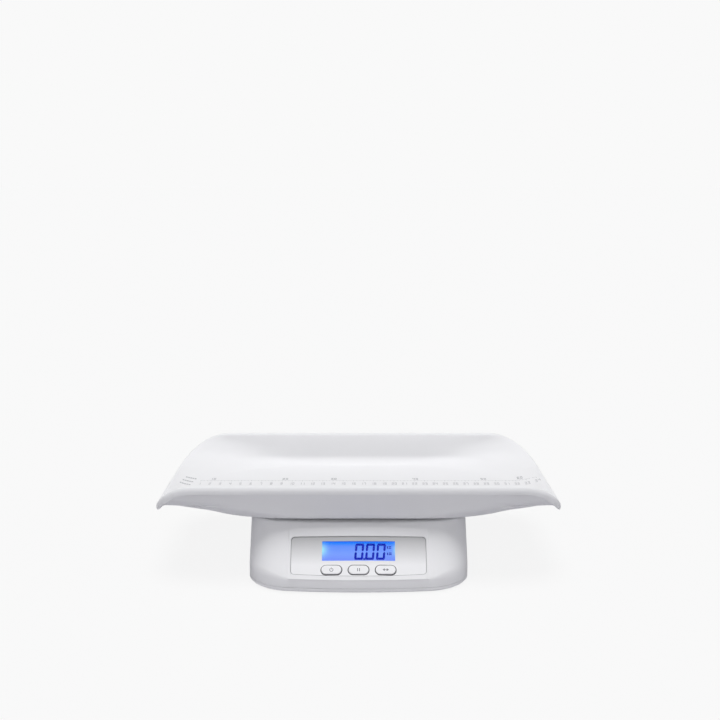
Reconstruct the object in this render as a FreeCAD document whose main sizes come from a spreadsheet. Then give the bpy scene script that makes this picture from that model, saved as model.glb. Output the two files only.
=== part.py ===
import FreeCAD, Part
import math
import os
import Sketcher
from FreeCAD import Placement, Rotation, Vector

# Digital baby weighing scale, in millimetres.
# Frame: origin under the middle of the bounding box, X to the right, the front faces -Y, Z up.

doc = FreeCAD.newDocument("baby_scale")
sheet = doc.addObject("Spreadsheet::Sheet", "Sizes")
sheet.Label = "sizes"
parts = []

# ---------------------------------------------------------------- driving dimensions

DIMENSIONS = {
    # tray
    "tray_length": 550,
    "tray_width": 301,
    "tray_rim_z": 136,
    "tray_bottom_z": 86.6,
    "tray_wall": 3,
    "tray_corner_radius": 65,
    "wall_angle": 74,
    "wall_bend_radius": 18,
    "end_slope": 20,
    "end_bend_run": 12.6,
    "end_knee_inset": 17.8,
    "floor_corner_length": 176,
    "floor_corner_width": 106,
    "knee_corner_length": 172,
    "knee_corner_width": 128,
    "wall_corner_length": 135,
    "wall_corner_width": 81,
    "upper_corner_radius": 50,
    "rim_fall_length": 85,
    "rim_fall_radius": 95,
    "rim_fall_angle": 34.6,
    "rim_rounding": 2,
    "flange_height": 11,
    "flange_wall": 2.5,
    "peg_diameter": 8,
    "peg_length": 5,
    "peg_end_gap": 1,
    # base housing
    "base_width": 294,
    "base_depth": 284,
    "base_front_reach": 28,
    "deck_z": 82,
    "skirt_z": 20,
    "parting_z": 8,
    "case_bottom_z": 2.5,
    "case_wall": 3,
    "case_floor": 2.5,
    "bottom_chamfer": 1.6,
    "console_angle": 53,
    "front_bow_radius": 830,
    "front_corner_radius": 62,
    "console_bow_radius": 1040,
    "console_corner_radius": 48,
    "rear_corner_radius": 40,
    "deck_rounding": 6,
    "console_rounding": 12,
    "console_flats": 3,
    "parting_gap": 0.4,
    "lip_height": 4,
    "lip_wall": 1.5,
    "fit_clearance": 0.3,
    "seat_diameter": 16,
    "seat_side_inset": 33,
    "seat_front_inset": 33,
    "seat_rear_inset": 22,
    "peg_clearance": 0.4,
    # console
    "zone_half_width": 93.4,
    "zone_top": 71.4,
    "zone_raise": 1.2,
    "zone_corner_radius": 9,
    "zone_side_rounding": 3,
    "panel_bottom": 5,
    "panel_bow": 3.3,
    "panel_top": 59.2,
    "panel_half_width": 89,
    "panel_corner_radius": 5,
    "panel_recess": 0.8,
    "panel_wall": 1.3,
    "panel_clearance": 0.25,
    "backing_wall": 2,
    "window_length": 95.8,
    "window_width": 26.6,
    "window_centre": 39.4,
    "window_corner_radius": 0.8,
    "window_flange": 2.2,
    "window_boss_height": 1.7,
    "display_gap": 0.1,
    "glass_thickness": 2.6,
    "glass_margin": 4.1,
    "glass_ledge": 3,
    "light_inset": 0.5,
    "light_thickness": 5.9,
    "board_edge": 8,
    "board_width": 55,
    "board_centre": 32.5,
    "board_thickness": 1.6,
    "board_hole_diameter": 2.4,
    "board_hole_inset": 5,
    "board_pilot_diameter": 2,
    "board_pilot_depth": 6,
    "chip_side": 14,
    "chip_height": 1.6,
    "chip_across": 28,
    "chip_up": 6,
    "button_length": 26,
    "button_width": 11.4,
    "button_pitch": 35.3,
    "button_centre": 13.65,
    "button_clearance": 0.4,
    "button_proud": 1.6,
    "button_flange": 1.1,
    "button_flange_thickness": 1,
    "stem_diameter": 5,
    "button_edge": 0.7,
    "button_travel": 0.5,
    "switch_side": 6,
    "switch_height": 3.5,
    "plunger_diameter": 3.5,
    "plunger_height": 1.5,
    "plunger_seat": 0.8,
    "board_post_diameter": 6,
    "board_post_clearance": 4.95,
    # feet and load cells
    "foot_boss_gap": 0.5,
    "foot_front_inset": 62,
    "foot_rear_inset": 52,
    "foot_diameter": 28,
    "foot_height": 2.2,
    "carrier_rim": 1,
    "foot_well_clearance": 1,
    "foot_well_wall": 4,
    "carrier_height": 2.8,
    "hub_diameter": 12,
    "cell_plate_side": 38,
    "cell_plate_thickness": 1.5,
    "cell_seat_z": 8.5,
    "cell_slot_inset": 7,
    "cell_slot_width": 2,
    # battery bay
    "contact_space": 5.25,
    "bay_front_space": 1,
    "bay_rear_space": 5.8,
    "bay_headroom": 6.6,
    "bay_wall": 1.8,
    "bay_front_y": -17,
    "door_thickness": 2.2,
    "hinge_radius": 2.2,
    "hinge_pin_diameter": 2.4,
    "hinge_pin_length": 1.4,
    "hinge_pin_clearance": 0.2,
    "grip_rib_length": 16,
    "grip_rib_width": 1,
    "grip_rib_height": 0.3,
    "grip_rib_pitch": 2,
    "grip_rib_inset": 3,
    "battery_diameter": 10.4,
    "battery_length": 43.5,
    "battery_gap": 0.4,
    "battery_lift": 0.6,
    "battery_nub_diameter": 3.6,
    "battery_nub_length": 1,
    "contact_thickness": 0.4,
    "contact_height": 9.4,
    "contact_boss_diameter": 4.5,
    "contact_cone_diameter": 6.5,
    # screws
    "post_diameter": 8,
    "post_side_inset": 18.5,
    "post_front_inset": 68,
    "post_rear_inset": 18,
    "screw_diameter": 3,
    "screw_head_diameter": 5.6,
    "screw_head_height": 2,
    "screw_length": 12,
    "screw_fit": 0.4,
    "screw_hole_clearance": 0.6,
    "screw_head_clearance": 0.8,
    "screw_head_depth": 0.8,
    "screw_land": 2.5,
    "screw_boss_wall": 2.5,
    "cross_width": 0.8,
    "cross_depth": 1,
    "cross_margin": 0.8,
}


def fill_sheet():
    for row, (name, value) in enumerate(DIMENSIONS.items(), start=1):
        sheet.set(f"A{row}", name)
        sheet.set(f"B{row}", str(value))
        sheet.setAlias(f"B{row}", name)
    doc.recompute()


def size(name):
    return float(sheet.get(name))


fill_sheet()

# ---------------------------------------------------------------- making and binding pieces


def add_shape(name, shape):
    """A sub-part whose form is made by Part's own functions."""
    feature = doc.addObject("Part::Feature", name)
    feature.Shape = shape
    feature.Label = name
    parts.append(feature)
    return feature


def bind(thing, **expressions):
    """Tie properties to cells of the sheet; an underscore pair stands for a dot."""
    for name, expression in expressions.items():
        thing.setExpression(name.replace("__", "."), expression)


def cells(expression):
    """Write plain alias names as references to the sheet."""
    words = []
    for word in expression.split():
        words.append("Sizes." + word if word in DIMENSIONS else word)
    return " ".join(words)


def cylinder(name, diameter, height, z=None):
    tube = doc.addObject("Part::Cylinder", name)
    bind(tube, Radius=cells(f"( {diameter} ) / 2"), Height=cells(height))
    if z is not None:
        bind(tube, Placement__Base__z=cells(z))
    return tube


def fuse(name, pieces):
    joined = doc.addObject("Part::MultiFuse", name)
    joined.Shapes = pieces
    return joined


def keep(name, thing, placement=None):
    """Give a finished object its node name and its place."""
    doc.recompute()
    thing.Label = name
    if placement is not None:
        thing.Placement = placement
    parts.append(thing)
    return thing


def new_body(name):
    body = doc.addObject("PartDesign::Body", name)
    body.Label = name
    return body


def level_sketch(body, name, level="0"):
    """A sketch on the body's XY plane, lifted to a level."""
    sketch = body.newObject("Sketcher::SketchObject", name)
    plane = [item for item in body.Origin.OriginFeatures if item.Role == "XY_Plane"][0]
    sketch.AttachmentSupport = [(plane, "")]
    sketch.MapMode = "FlatFace"
    bind(sketch, AttachmentOffset__Base__z=cells(level))
    return sketch


def draw_rectangle(sketch, width, height):
    """A rectangle centred on the origin with its two sizes tied to the sheet."""
    corners = [Vector(-5, -4, 0), Vector(5, -4, 0), Vector(5, 4, 0), Vector(-5, 4, 0)]
    for index in range(4):
        line = Part.LineSegment(corners[index], corners[(index + 1) % 4])
        sketch.addGeometry(line, False)
    for index in range(4):
        sketch.addConstraint(Sketcher.Constraint("Coincident", index, 2, (index + 1) % 4, 1))
    for index in (0, 2):
        sketch.addConstraint(Sketcher.Constraint("Horizontal", index))
    for index in (1, 3):
        sketch.addConstraint(Sketcher.Constraint("Vertical", index))
    sketch.addConstraint(Sketcher.Constraint("Symmetric", 0, 1, 2, 1, -1, 1))
    wide = sketch.addConstraint(Sketcher.Constraint("DistanceX", 0, 1, 0, 2, 10))
    tall = sketch.addConstraint(Sketcher.Constraint("DistanceY", 1, 1, 1, 2, 8))
    sketch.setExpression(f"Constraints[{wide}]", cells(width))
    sketch.setExpression(f"Constraints[{tall}]", cells(height))


def draw_stadium(sketch, length, width):
    """Two half circles joined by two lines, centred on the origin."""
    up = math.pi / 2
    sketch.addGeometry(Part.ArcOfCircle(Part.Circle(Vector(7, 0, 0), Vector(0, 0, 1), 5), -up, up), False)
    sketch.addGeometry(Part.ArcOfCircle(Part.Circle(Vector(-7, 0, 0), Vector(0, 0, 1), 5), up, 3 * up), False)
    sketch.addGeometry(Part.LineSegment(Vector(7, 5, 0), Vector(-7, 5, 0)), False)
    sketch.addGeometry(Part.LineSegment(Vector(-7, -5, 0), Vector(7, -5, 0)), False)
    sketch.addConstraint(Sketcher.Constraint("Tangent", 0, 2, 2, 1))
    sketch.addConstraint(Sketcher.Constraint("Tangent", 2, 2, 1, 1))
    sketch.addConstraint(Sketcher.Constraint("Tangent", 1, 2, 3, 1))
    sketch.addConstraint(Sketcher.Constraint("Tangent", 3, 2, 0, 1))
    sketch.addConstraint(Sketcher.Constraint("Equal", 0, 1))
    sketch.addConstraint(Sketcher.Constraint("Horizontal", 2))
    sketch.addConstraint(Sketcher.Constraint("Symmetric", 0, 3, 1, 3, -1, 1))
    radius = sketch.addConstraint(Sketcher.Constraint("Radius", 0, 5))
    spread = sketch.addConstraint(Sketcher.Constraint("DistanceX", 1, 3, 0, 3, 14))
    sketch.setExpression(f"Constraints[{radius}]", cells(f"( {width} ) / 2"))
    sketch.setExpression(f"Constraints[{spread}]", cells(f"( {length} ) - ( {width} )"))


def draw_circle(sketch, diameter, x, y):
    index = sketch.addGeometry(Part.Circle(Vector(3, 3, 0), Vector(0, 0, 1), 2), False)
    radius = sketch.addConstraint(Sketcher.Constraint("Radius", index, 2))
    across = sketch.addConstraint(Sketcher.Constraint("DistanceX", -1, 1, index, 3, 3))
    along = sketch.addConstraint(Sketcher.Constraint("DistanceY", -1, 1, index, 3, 3))
    sketch.setExpression(f"Constraints[{radius}]", cells(f"( {diameter} ) / 2"))
    sketch.setExpression(f"Constraints[{across}]", cells(x))
    sketch.setExpression(f"Constraints[{along}]", cells(y))


def pad(body, name, sketch, height):
    feature = body.newObject("PartDesign::Pad", name)
    feature.Profile = sketch
    bind(feature, Length=cells(height))
    sketch.Visibility = False
    return feature


def pocket(body, name, sketch, depth):
    """A pocket that runs upwards from its sketch."""
    doc.recompute()
    feature = body.newObject("PartDesign::Pocket", name)
    feature.Profile = sketch
    feature.Reversed = True
    bind(feature, Length=cells(depth))
    return feature


# ---------------------------------------------------------------- shared outlines


def rounded_rectangle(half_length, half_width, radius, z, centre_y):
    """Closed wire of four arcs and four lines, always with the same eight edges."""
    radius = min(radius, half_length - 1, half_width - 1)
    inner_x = half_length - radius
    inner_y = half_width - radius
    corner_stops = []
    for sign_x, sign_y, start in [(1, -1, -90), (1, 1, 0), (-1, 1, 90), (-1, -1, 180)]:
        centre = Vector(sign_x * inner_x, centre_y + sign_y * inner_y, z)
        stops = []
        for turn in (0, 45, 90):
            angle = math.radians(start + turn)
            stops.append(centre + Vector(radius * math.cos(angle), radius * math.sin(angle), 0))
        corner_stops.append(stops)
    edges = []
    for index, stops in enumerate(corner_stops):
        following = corner_stops[(index + 1) % 4]
        edges.append(Part.Arc(*stops).toShape())
        edges.append(Part.LineSegment(stops[2], following[0]).toShape())
    return Part.Wire(edges)


def prism(wire, height):
    return Part.Face(wire).extrude(Vector(0, 0, height))


def conic_wire(outline):
    edges = []
    for poles, weight in outline:
        if len(poles) == 2:
            edges.append(Part.LineSegment(*poles).toShape())
        else:
            curve = Part.BezierCurve()
            curve.setPoles(poles)
            curve.setWeight(2, weight)
            edges.append(curve.toShape())
    return Part.Wire(edges)


def conic_patch(levels, rises):
    """A face over one edge of each level; the levels are its poles in the other direction."""
    poles = [level[0] for level in levels]
    weights = []
    for (row, weight), rise in zip(levels, rises):
        weights.append([rise * weight if index == 1 and len(row) == 3 else rise for index in range(len(row))])
    rows = len(poles)
    columns = len(poles[0])
    surface = Part.BSplineSurface()
    surface.buildFromPolesMultsKnots(poles, [rows, rows], [columns, columns], [0, 1], [0, 1],
                                     False, False, rows - 1, columns - 1, weights)
    return surface.toShape()


def banded_solid(bands):
    """A solid of bands of conic faces between level outlines, closed by a flat face at each end."""
    faces = []
    for outlines, rises in bands:
        for index in range(len(outlines[0])):
            faces.append(conic_patch([outline[index] for outline in outlines], rises))
    faces.append(Part.Face(conic_wire(bands[0][0][0])))
    faces.append(Part.Face(conic_wire(bands[-1][0][-1])))
    shell = Part.makeShell(faces)
    shell.sewShape()
    solid = Part.makeSolid(shell)
    if solid.Volume < 0:
        solid.reverse()
    return solid


def block(x0, x1, y0, y1, z0, z1):
    return Part.makeBox(x1 - x0, y1 - y0, z1 - z0, Vector(x0, y0, z0))


def upright(diameter, x, y, z0, z1):
    return Part.makeCylinder(diameter / 2, z1 - z0, Vector(x, y, z0))


tray_centre_y = size("base_front_reach") / 2
base_front_y = -(size("tray_width") + size("base_front_reach")) / 2
base_rear_y = base_front_y + size("base_depth")
case_floor_z = size("case_bottom_z") + size("case_floor")

# ---------------------------------------------------------------- tray


def pan_outline(half_length, half_width, corner_length, corner_width, z):
    """A level oblong whose corners are quarter ovals, as lines and conics."""
    straight_x = half_length - corner_length
    straight_y = half_width - corner_width
    quarter = [(straight_x, -half_width), (half_length, -half_width), (half_length, -straight_y)]
    stops = []
    for turn_x, turn_y in ((1, 1), (1, -1), (-1, -1), (-1, 1)):
        corner = [Vector(turn_x * x, tray_centre_y + turn_y * y, z) for x, y in quarter]
        stops.append(corner if turn_x == turn_y else corner[::-1])
    outline = []
    for index, corner in enumerate(stops):
        outline.append((corner, math.sqrt(0.5)))
        outline.append(([corner[2], stops[(index + 1) % 4][0]], 1.0))
    return outline


def along_bend(outlines, share, weight):
    """The outline at a share of the way round a bend given by its three pole outlines."""
    parts_of = [(1 - share) ** 2, 2 * weight * share * (1 - share), share ** 2]
    whole = sum(parts_of)
    result = []
    for index, (poles, corner_weight) in enumerate(outlines[0]):
        row = []
        for place in range(len(poles)):
            point = Vector()
            for outline, portion in zip(outlines, parts_of):
                point += outline[index][0][place] * (portion / whole)
            row.append(point)
        result.append((row, corner_weight))
    return result


def tray_pan(extra):
    """The tray's hollow, or with extra the outside of its wall, whose bend is made of strips.

    A bend rises off the floor into a steep wall along the sides and into a shallow ramp at the
    ends; the plan corners change from wide ovals at the floor to small rounds at the top.
    """
    steep = math.radians(size("wall_angle"))
    shallow = math.radians(size("end_slope"))
    floor_z = size("tray_bottom_z") + size("tray_wall")
    rim_height = size("tray_rim_z") - floor_z
    inner_bend = size("wall_bend_radius")
    bend = inner_bend + extra
    bend_height = bend * (1 - math.cos(steep))
    rise = inner_bend * (1 - math.cos(steep))
    side_land = size("flange_wall") + size("tray_wall") / 2
    side_reach = inner_bend * math.sin(steep) + (rim_height - rise) / math.tan(steep)
    side_foot = size("tray_width") / 2 - side_land - side_reach
    side_knee = side_foot + bend * math.tan(steep / 2)
    end_knee = size("tray_length") / 2 - size("end_knee_inset")
    end_foot = end_knee - size("end_bend_run")
    end_knee += extra * math.tan(shallow / 2)
    low_z = floor_z - extra
    heights = [0, 0, bend_height, bend_height * 1.8, rim_height + extra + 6]
    corners = [
        (size("floor_corner_length"), size("floor_corner_width")),
        (size("knee_corner_length"), size("knee_corner_width")),
        (size("wall_corner_length"), size("wall_corner_width")),
        (1.8 * size("wall_corner_length") - 0.8 * size("knee_corner_length"),
         1.8 * size("wall_corner_width") - 0.8 * size("knee_corner_width")),
        (size("upper_corner_radius"), size("upper_corner_radius")),
    ]
    outlines = []
    for level, (height, (corner_length, corner_width)) in enumerate(zip(heights, corners)):
        grow = extra if level else 0
        half_length = end_knee + height / math.tan(shallow) if level else end_foot
        half_width = side_knee + height / math.tan(steep) if level else side_foot
        outlines.append(pan_outline(half_length, half_width, corner_length + grow, corner_width + grow,
                                    low_z + height))
    bend_weight = math.cos(steep / 2)
    wall = (outlines[2:], [1, 1, 1])
    if not extra:
        return banded_solid([(outlines[:3], [1, bend_weight, 1]), wall])
    strips = 4
    stations = [along_bend(outlines[:3], index / strips, bend_weight) for index in range(strips + 1)]
    bands = [(stations[index:index + 2], [1, 1]) for index in range(strips)]
    return banded_solid(bands + [wall])


def tray_outline(inset, z):
    return rounded_rectangle(
        size("tray_length") / 2 - inset,
        size("tray_width") / 2 - inset,
        size("tray_corner_radius") - inset,
        z,
        tray_centre_y,
    )


def above_rim(depth):
    """All the space over the rim's side view: level in the middle, an arc and a slope to each end."""
    fall = math.radians(size("rim_fall_angle"))
    radius = size("rim_fall_radius")
    start_x = size("tray_length") / 2 - size("rim_fall_length")
    rim_z = size("tray_rim_z")
    far_x = size("tray_length")
    top_z = rim_z + 60

    def arc_point(turn):
        return Vector(start_x + radius * math.sin(turn), 0, rim_z - radius * (1 - math.cos(turn)))

    arc_end = arc_point(fall)
    slope_end = Vector(far_x, 0, arc_end.z - (far_x - arc_end.x) * math.tan(fall))

    def left(point):
        return Vector(-point.x, point.y, point.z)

    level_end = arc_point(0)
    edges = [
        Part.LineSegment(left(level_end), level_end).toShape(),
        Part.Arc(level_end, arc_point(fall / 2), arc_end).toShape(),
        Part.LineSegment(arc_end, slope_end).toShape(),
        Part.LineSegment(slope_end, Vector(far_x, 0, top_z)).toShape(),
        Part.LineSegment(Vector(far_x, 0, top_z), Vector(-far_x, 0, top_z)).toShape(),
        Part.LineSegment(Vector(-far_x, 0, top_z), left(slope_end)).toShape(),
        Part.LineSegment(left(slope_end), left(arc_end)).toShape(),
        Part.Arc(left(arc_end), left(arc_point(fall / 2)), left(level_end)).toShape(),
    ]
    solid = Part.Face(Part.Wire(edges)).extrude(Vector(0, 2 * far_x, 0))
    solid.translate(Vector(0, -far_x, -depth))
    return solid


def seat_places():
    """Where the tray stands on the deck, and where its pegs go."""
    front = base_front_y + console_run() + size("seat_front_inset")
    rear = base_rear_y - size("seat_rear_inset")
    side = size("base_width") / 2 - size("seat_side_inset")
    return [(-side, front), (side, front), (-side, rear), (side, rear)]


def rounded_envelope(column, low_z):
    """The tray's outer form below the rim's side view, rounded along the rim."""
    envelope = column.cut(above_rim(0))
    rim_edges = []
    for face in envelope.Faces:
        u0, u1, v0, v1 = face.ParameterRange
        if abs(face.normalAt((u0 + u1) / 2, (v0 + v1) / 2).z) > 0.001:
            continue
        for edge in face.Edges:
            box = edge.BoundBox
            if box.ZMin > low_z + 1 and box.XLength + box.YLength > 0.01:
                rim_edges.append(edge)
    return envelope.makeFillet(size("rim_rounding"), rim_edges)


def make_tray():
    rim_z = size("tray_rim_z")
    low_z = size("tray_bottom_z") - 1
    hollow = tray_pan(0)
    outside = tray_pan(size("tray_wall"))
    column = prism(tray_outline(0, low_z), rim_z - low_z)
    core = prism(tray_outline(size("flange_wall"), low_z), rim_z - low_z)
    shell = outside.common(column)
    land = column.common(above_rim(size("tray_wall")))
    ring = column.cut(core).common(above_rim(size("flange_height")))
    tray = shell.fuse([land, ring]).cut(hollow).common(rounded_envelope(column, low_z))
    pegs = []
    for x, y in seat_places():
        top_z = size("tray_bottom_z") + size("tray_wall") / 2
        peg = upright(size("peg_diameter"), x, y, size("tray_bottom_z") - size("peg_length"), top_z)
        pegs.append(peg)
    return tray.fuse(pegs).removeSplitter()


# ---------------------------------------------------------------- base housing


def bowed_outline(inset, z, front_y, rear_y, bow_radius, corner_radius, half_width):
    """Outline with a bowed front, rounded front corners and a straight back."""
    half = half_width - inset
    corner = corner_radius - inset
    bow = bow_radius - inset
    rear_corner = size("rear_corner_radius") - inset
    front = front_y + inset
    rear = rear_y - inset
    bow_centre = front + bow
    corner_x = half - corner
    corner_y = bow_centre - math.sqrt((bow - corner) ** 2 - corner_x ** 2)
    lean = math.atan2(corner_x, bow_centre - corner_y)
    middle_turn = (lean + math.pi / 2) / 2
    tangent = Vector(corner_x + corner * math.sin(lean), corner_y - corner * math.cos(lean), z)
    middle = Vector(corner_x + corner * math.sin(middle_turn), corner_y - corner * math.cos(middle_turn), z)
    side_low = Vector(half, corner_y, z)
    side_high = Vector(half, rear - rear_corner, z)
    diagonal = rear_corner * math.sin(math.pi / 4)
    rear_middle = Vector(half - rear_corner + diagonal, rear - rear_corner + diagonal, z)
    rear_point = Vector(half - rear_corner, rear, z)

    def left(point):
        return Vector(-point.x, point.y, point.z)

    return [
        Part.Arc(left(tangent), Vector(0, front, z), tangent).toShape(),
        Part.Arc(tangent, middle, side_low).toShape(),
        Part.LineSegment(side_low, side_high).toShape(),
        Part.Arc(side_high, rear_middle, rear_point).toShape(),
        Part.LineSegment(rear_point, left(rear_point)).toShape(),
        Part.Arc(left(rear_point), left(rear_middle), left(side_high)).toShape(),
        Part.LineSegment(left(side_high), left(side_low)).toShape(),
        Part.Arc(left(side_low), left(middle), left(tangent)).toShape(),
    ]


def skirt_prism(inset, z0, z1):
    outline = bowed_outline(inset, z0, base_front_y, base_rear_y, size("front_bow_radius"),
                            size("front_corner_radius"), size("base_width") / 2)
    return prism(Part.Wire(outline), z1 - z0)


def console_run():
    return (size("deck_z") - size("skirt_z")) / math.tan(math.radians(size("console_angle")))


def leaning_prism(inset, bow_radius, corner_radius, half_width, foot, angle):
    """A bowed outline swept up through a foot point at an angle to the table."""
    reach = size("base_width")
    outline = bowed_outline(inset, -reach, 0, 2 * reach, bow_radius, corner_radius, half_width)
    body = prism(Part.Wire(outline), 2.5 * reach)
    body.Placement = Placement(foot, Rotation(Vector(1, 0, 0), angle - 90))
    return body


def leaning_body(inset):
    """All that lies behind the console."""
    foot = Vector(0, base_front_y, size("skirt_z"))
    return leaning_prism(inset, size("console_bow_radius"), size("console_corner_radius"),
                         size("base_width") / 2, foot, size("console_angle"))


def corner_depth(bow, corner):
    """How far behind the middle of a bowed front its corners end."""
    half = size("base_width") / 2
    return bow - math.sqrt((bow - corner) ** 2 - (half - corner) ** 2)


def foot_flats():
    """Leaning bodies at the angles between console and skirt, which round off the edge between them."""
    slope = math.radians(size("console_angle"))
    radius = size("console_rounding")
    half = size("base_width") / 2
    skirt_depth = corner_depth(size("front_bow_radius"), size("front_corner_radius"))
    console_depth = corner_depth(size("console_bow_radius"), size("console_corner_radius"))
    centre = Vector(0, base_front_y + radius, size("skirt_z") - radius * math.tan(math.pi / 4 - slope / 2))
    flats = []
    for index in range(1, int(size("console_flats")) + 1):
        angle = slope + (math.pi / 2 - slope) * index / (size("console_flats") + 1)
        skirt_share = math.sin(angle) - math.cos(angle) * math.tan(slope)
        console_share = math.cos(angle) / math.cos(slope)
        bow = 1 / (skirt_share / size("front_bow_radius") + console_share / size("console_bow_radius"))
        depth = skirt_share * skirt_depth + console_share * console_depth
        corner = (2 * bow * depth - depth ** 2 - half ** 2) / (2 * bow - 2 * half)
        foot = centre + Vector(0, -math.sin(angle), math.cos(angle)) * radius
        flats.append(leaning_prism(0, bow, corner, half, foot, math.degrees(angle)))
    return flats


def console_place(across=0.0, along=0.0, out=0.0):
    """Frame of the console: X across, Y up the slope, Z out of the face."""
    tilt = math.radians(size("console_angle"))
    base = Vector(across, base_front_y, size("skirt_z"))
    up_slope = Vector(0, math.cos(tilt), math.sin(tilt))
    outward = Vector(0, -math.sin(tilt), math.cos(tilt))
    return Placement(base + up_slope * along + outward * out, Rotation(Vector(1, 0, 0), size("console_angle")))


def console_prism(wire):
    """A prism from well inside the console to well outside, its wire drawn in the console frame."""
    low, high = -15, 10
    solid = Part.Face(wire).extrude(Vector(0, 0, high - low))
    solid.translate(Vector(0, 0, low))
    solid.Placement = console_place().multiply(solid.Placement)
    return solid


def panel_wire(grow):
    """The fascia's outline: straight sides and top, a bottom edge bowed downwards."""
    half = size("panel_half_width") + grow
    top = size("panel_top") + grow
    low = size("panel_bottom") + size("panel_bow") - grow
    dip = size("panel_bottom") - grow
    radius = size("panel_corner_radius") + grow
    diagonal = radius * (1 - math.sin(math.pi / 4))
    edges = []
    for sign in (1, -1):
        edges.append(Part.Arc(
            Vector(sign * (half - radius), low, 0),
            Vector(sign * (half - diagonal), low + diagonal, 0),
            Vector(sign * half, low + radius, 0),
        ).toShape())
        edges.append(Part.LineSegment(
            Vector(sign * half, low + radius, 0), Vector(sign * half, top - radius, 0)).toShape())
        edges.append(Part.Arc(
            Vector(sign * half, top - radius, 0),
            Vector(sign * (half - diagonal), top - diagonal, 0),
            Vector(sign * (half - radius), top, 0),
        ).toShape())
    edges.append(Part.LineSegment(Vector(half - radius, top, 0), Vector(radius - half, top, 0)).toShape())
    edges.append(Part.Arc(
        Vector(half - radius, low, 0), Vector(0, dip, 0), Vector(radius - half, low, 0)).toShape())
    return Part.Wire(Part.__sortEdges__(edges))


def raised_zone():
    """The zone round the fascia: it stands proud at its top and fades out above the console's foot."""
    foot = size("console_rounding") * math.tan(math.radians(90 - size("console_angle")) / 2)
    steepen = math.degrees(math.asin(size("zone_raise") / (size("zone_top") - foot)))
    proud = leaning_prism(0, size("console_bow_radius"), size("zone_side_rounding"), size("zone_half_width"),
                          console_place(along=foot).Base, size("console_angle") + steepen)
    wire = rounded_rectangle(size("zone_half_width") + 1, size("zone_top") / 2, size("zone_corner_radius"),
                             0, size("zone_top") / 2)
    return proud.common(console_prism(wire))


def stadium_wire(length, width, x, y):
    return rounded_rectangle(length / 2, width / 2, width / 2 - 0.01, 0, y).translated(Vector(x, 0, 0))


def button_places():
    pitch = size("button_pitch")
    return {"power": -pitch, "hold": 0.0, "unit": pitch}


def window_wire(grow):
    return rounded_rectangle(size("window_length") / 2 + grow, size("window_width") / 2 + grow,
                             size("window_corner_radius"), 0, size("window_centre"))


def post_places():
    front = base_front_y + size("post_front_inset")
    rear = base_rear_y - size("post_rear_inset")
    side = size("base_width") / 2 - size("post_side_inset")
    return [(-side, front), (side, front), (-side, rear), (side, rear), (0, rear)]


def panel_sink(half_length):
    """How far the bowed panel falls back from its middle at a distance to the side."""
    bow = size("console_bow_radius")
    return bow - math.sqrt(bow ** 2 - half_length ** 2)


glass_half = size("window_length") / 2 + size("glass_margin")
panel_back = size("panel_recess") + size("panel_wall")
glass_depth = panel_back + size("backing_wall") + panel_sink(glass_half) + size("display_gap")
board_face = -(glass_depth + size("glass_thickness") + size("light_thickness"))


def board_post_places():
    side = glass_half + size("board_post_clearance") + size("board_post_diameter") / 2
    reach = size("board_width") / 2 - size("board_hole_inset")
    middle = size("board_centre")
    return [(-side, middle - reach), (side, middle - reach), (-side, middle + reach), (side, middle + reach)]


board_back = board_face - size("board_thickness")
screw_seat_z = size("case_bottom_z") + size("screw_head_depth") + size("screw_head_height")
post_foot_z = screw_seat_z + size("screw_land")


def case_outside():
    """The base's outer form, rounded where the console meets the skirt and round the deck."""
    body = skirt_prism(0, size("parting_z"), size("deck_z")).common(leaning_body(0))
    deck_edges = []
    for edge in body.Edges:
        if min(vertex.Z for vertex in edge.Vertexes) > size("deck_z") - 0.01:
            deck_edges.append(edge)
    body = body.makeFillet(size("deck_rounding"), deck_edges)
    for flat in foot_flats():
        body = body.common(flat)
    return body


def case_cavity():
    """The space inside the upper case; it keeps more wall behind the fascia."""
    wall = size("case_wall")
    cavity = skirt_prism(wall, size("parting_z") - 1, size("deck_z") - wall).common(leaning_body(wall))
    deep = size("panel_recess") + size("panel_wall") + size("backing_wall")
    return cavity.cut(console_prism(panel_wire(3)).cut(leaning_body(deep)))


def make_upper_case():
    outside = case_outside()
    case = outside.fuse(raised_zone().common(skirt_prism(0, size("parting_z"), size("deck_z"))))
    seats = []
    for x, y in seat_places():
        seats.append(upright(size("seat_diameter"), x, y, size("deck_z") - 1, size("tray_bottom_z")))
    hollow = case_cavity()
    case = case.fuse(seats).cut(hollow)
    recess = size("panel_recess") + size("panel_wall") + size("fit_clearance")
    case = case.cut(console_prism(panel_wire(0)).cut(leaning_body(recess)))
    posts = []
    for x, y in post_places():
        posts.append(upright(size("post_diameter"), x, y, post_foot_z, size("deck_z")).common(outside))
    for x, y in board_post_places():
        post = Part.makeCylinder(size("board_post_diameter") / 2, -board_face, Vector(x, y, board_face))
        post.Placement = console_place().multiply(post.Placement)
        posts.append(post.common(hollow))
    case = case.fuse(posts)
    holes = []
    for x, y in post_places():
        holes.append(upright(size("screw_diameter"), x, y, post_foot_z - 1, post_foot_z + size("screw_length")))
    for x, y in board_post_places():
        hole = Part.makeCylinder(size("board_pilot_diameter") / 2, size("board_pilot_depth") + 1,
                                 Vector(x, y, board_face - 1))
        hole.Placement = console_place().multiply(hole.Placement)
        holes.append(hole)
    for x, y in seat_places():
        depth = size("peg_length") + size("peg_end_gap")
        holes.append(upright(size("peg_diameter") + 2 * size("peg_clearance"), x, y,
                             size("tray_bottom_z") - depth, size("tray_bottom_z") + 1))
    holes.append(console_prism(window_wire(size("window_flange") + size("panel_clearance"))))
    for x in button_places().values():
        gap = 2 * size("button_clearance")
        wire = stadium_wire(size("button_length") + gap, size("button_width") + gap, x, size("button_centre"))
        holes.append(console_prism(wire))
    return case.cut(holes)


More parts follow.
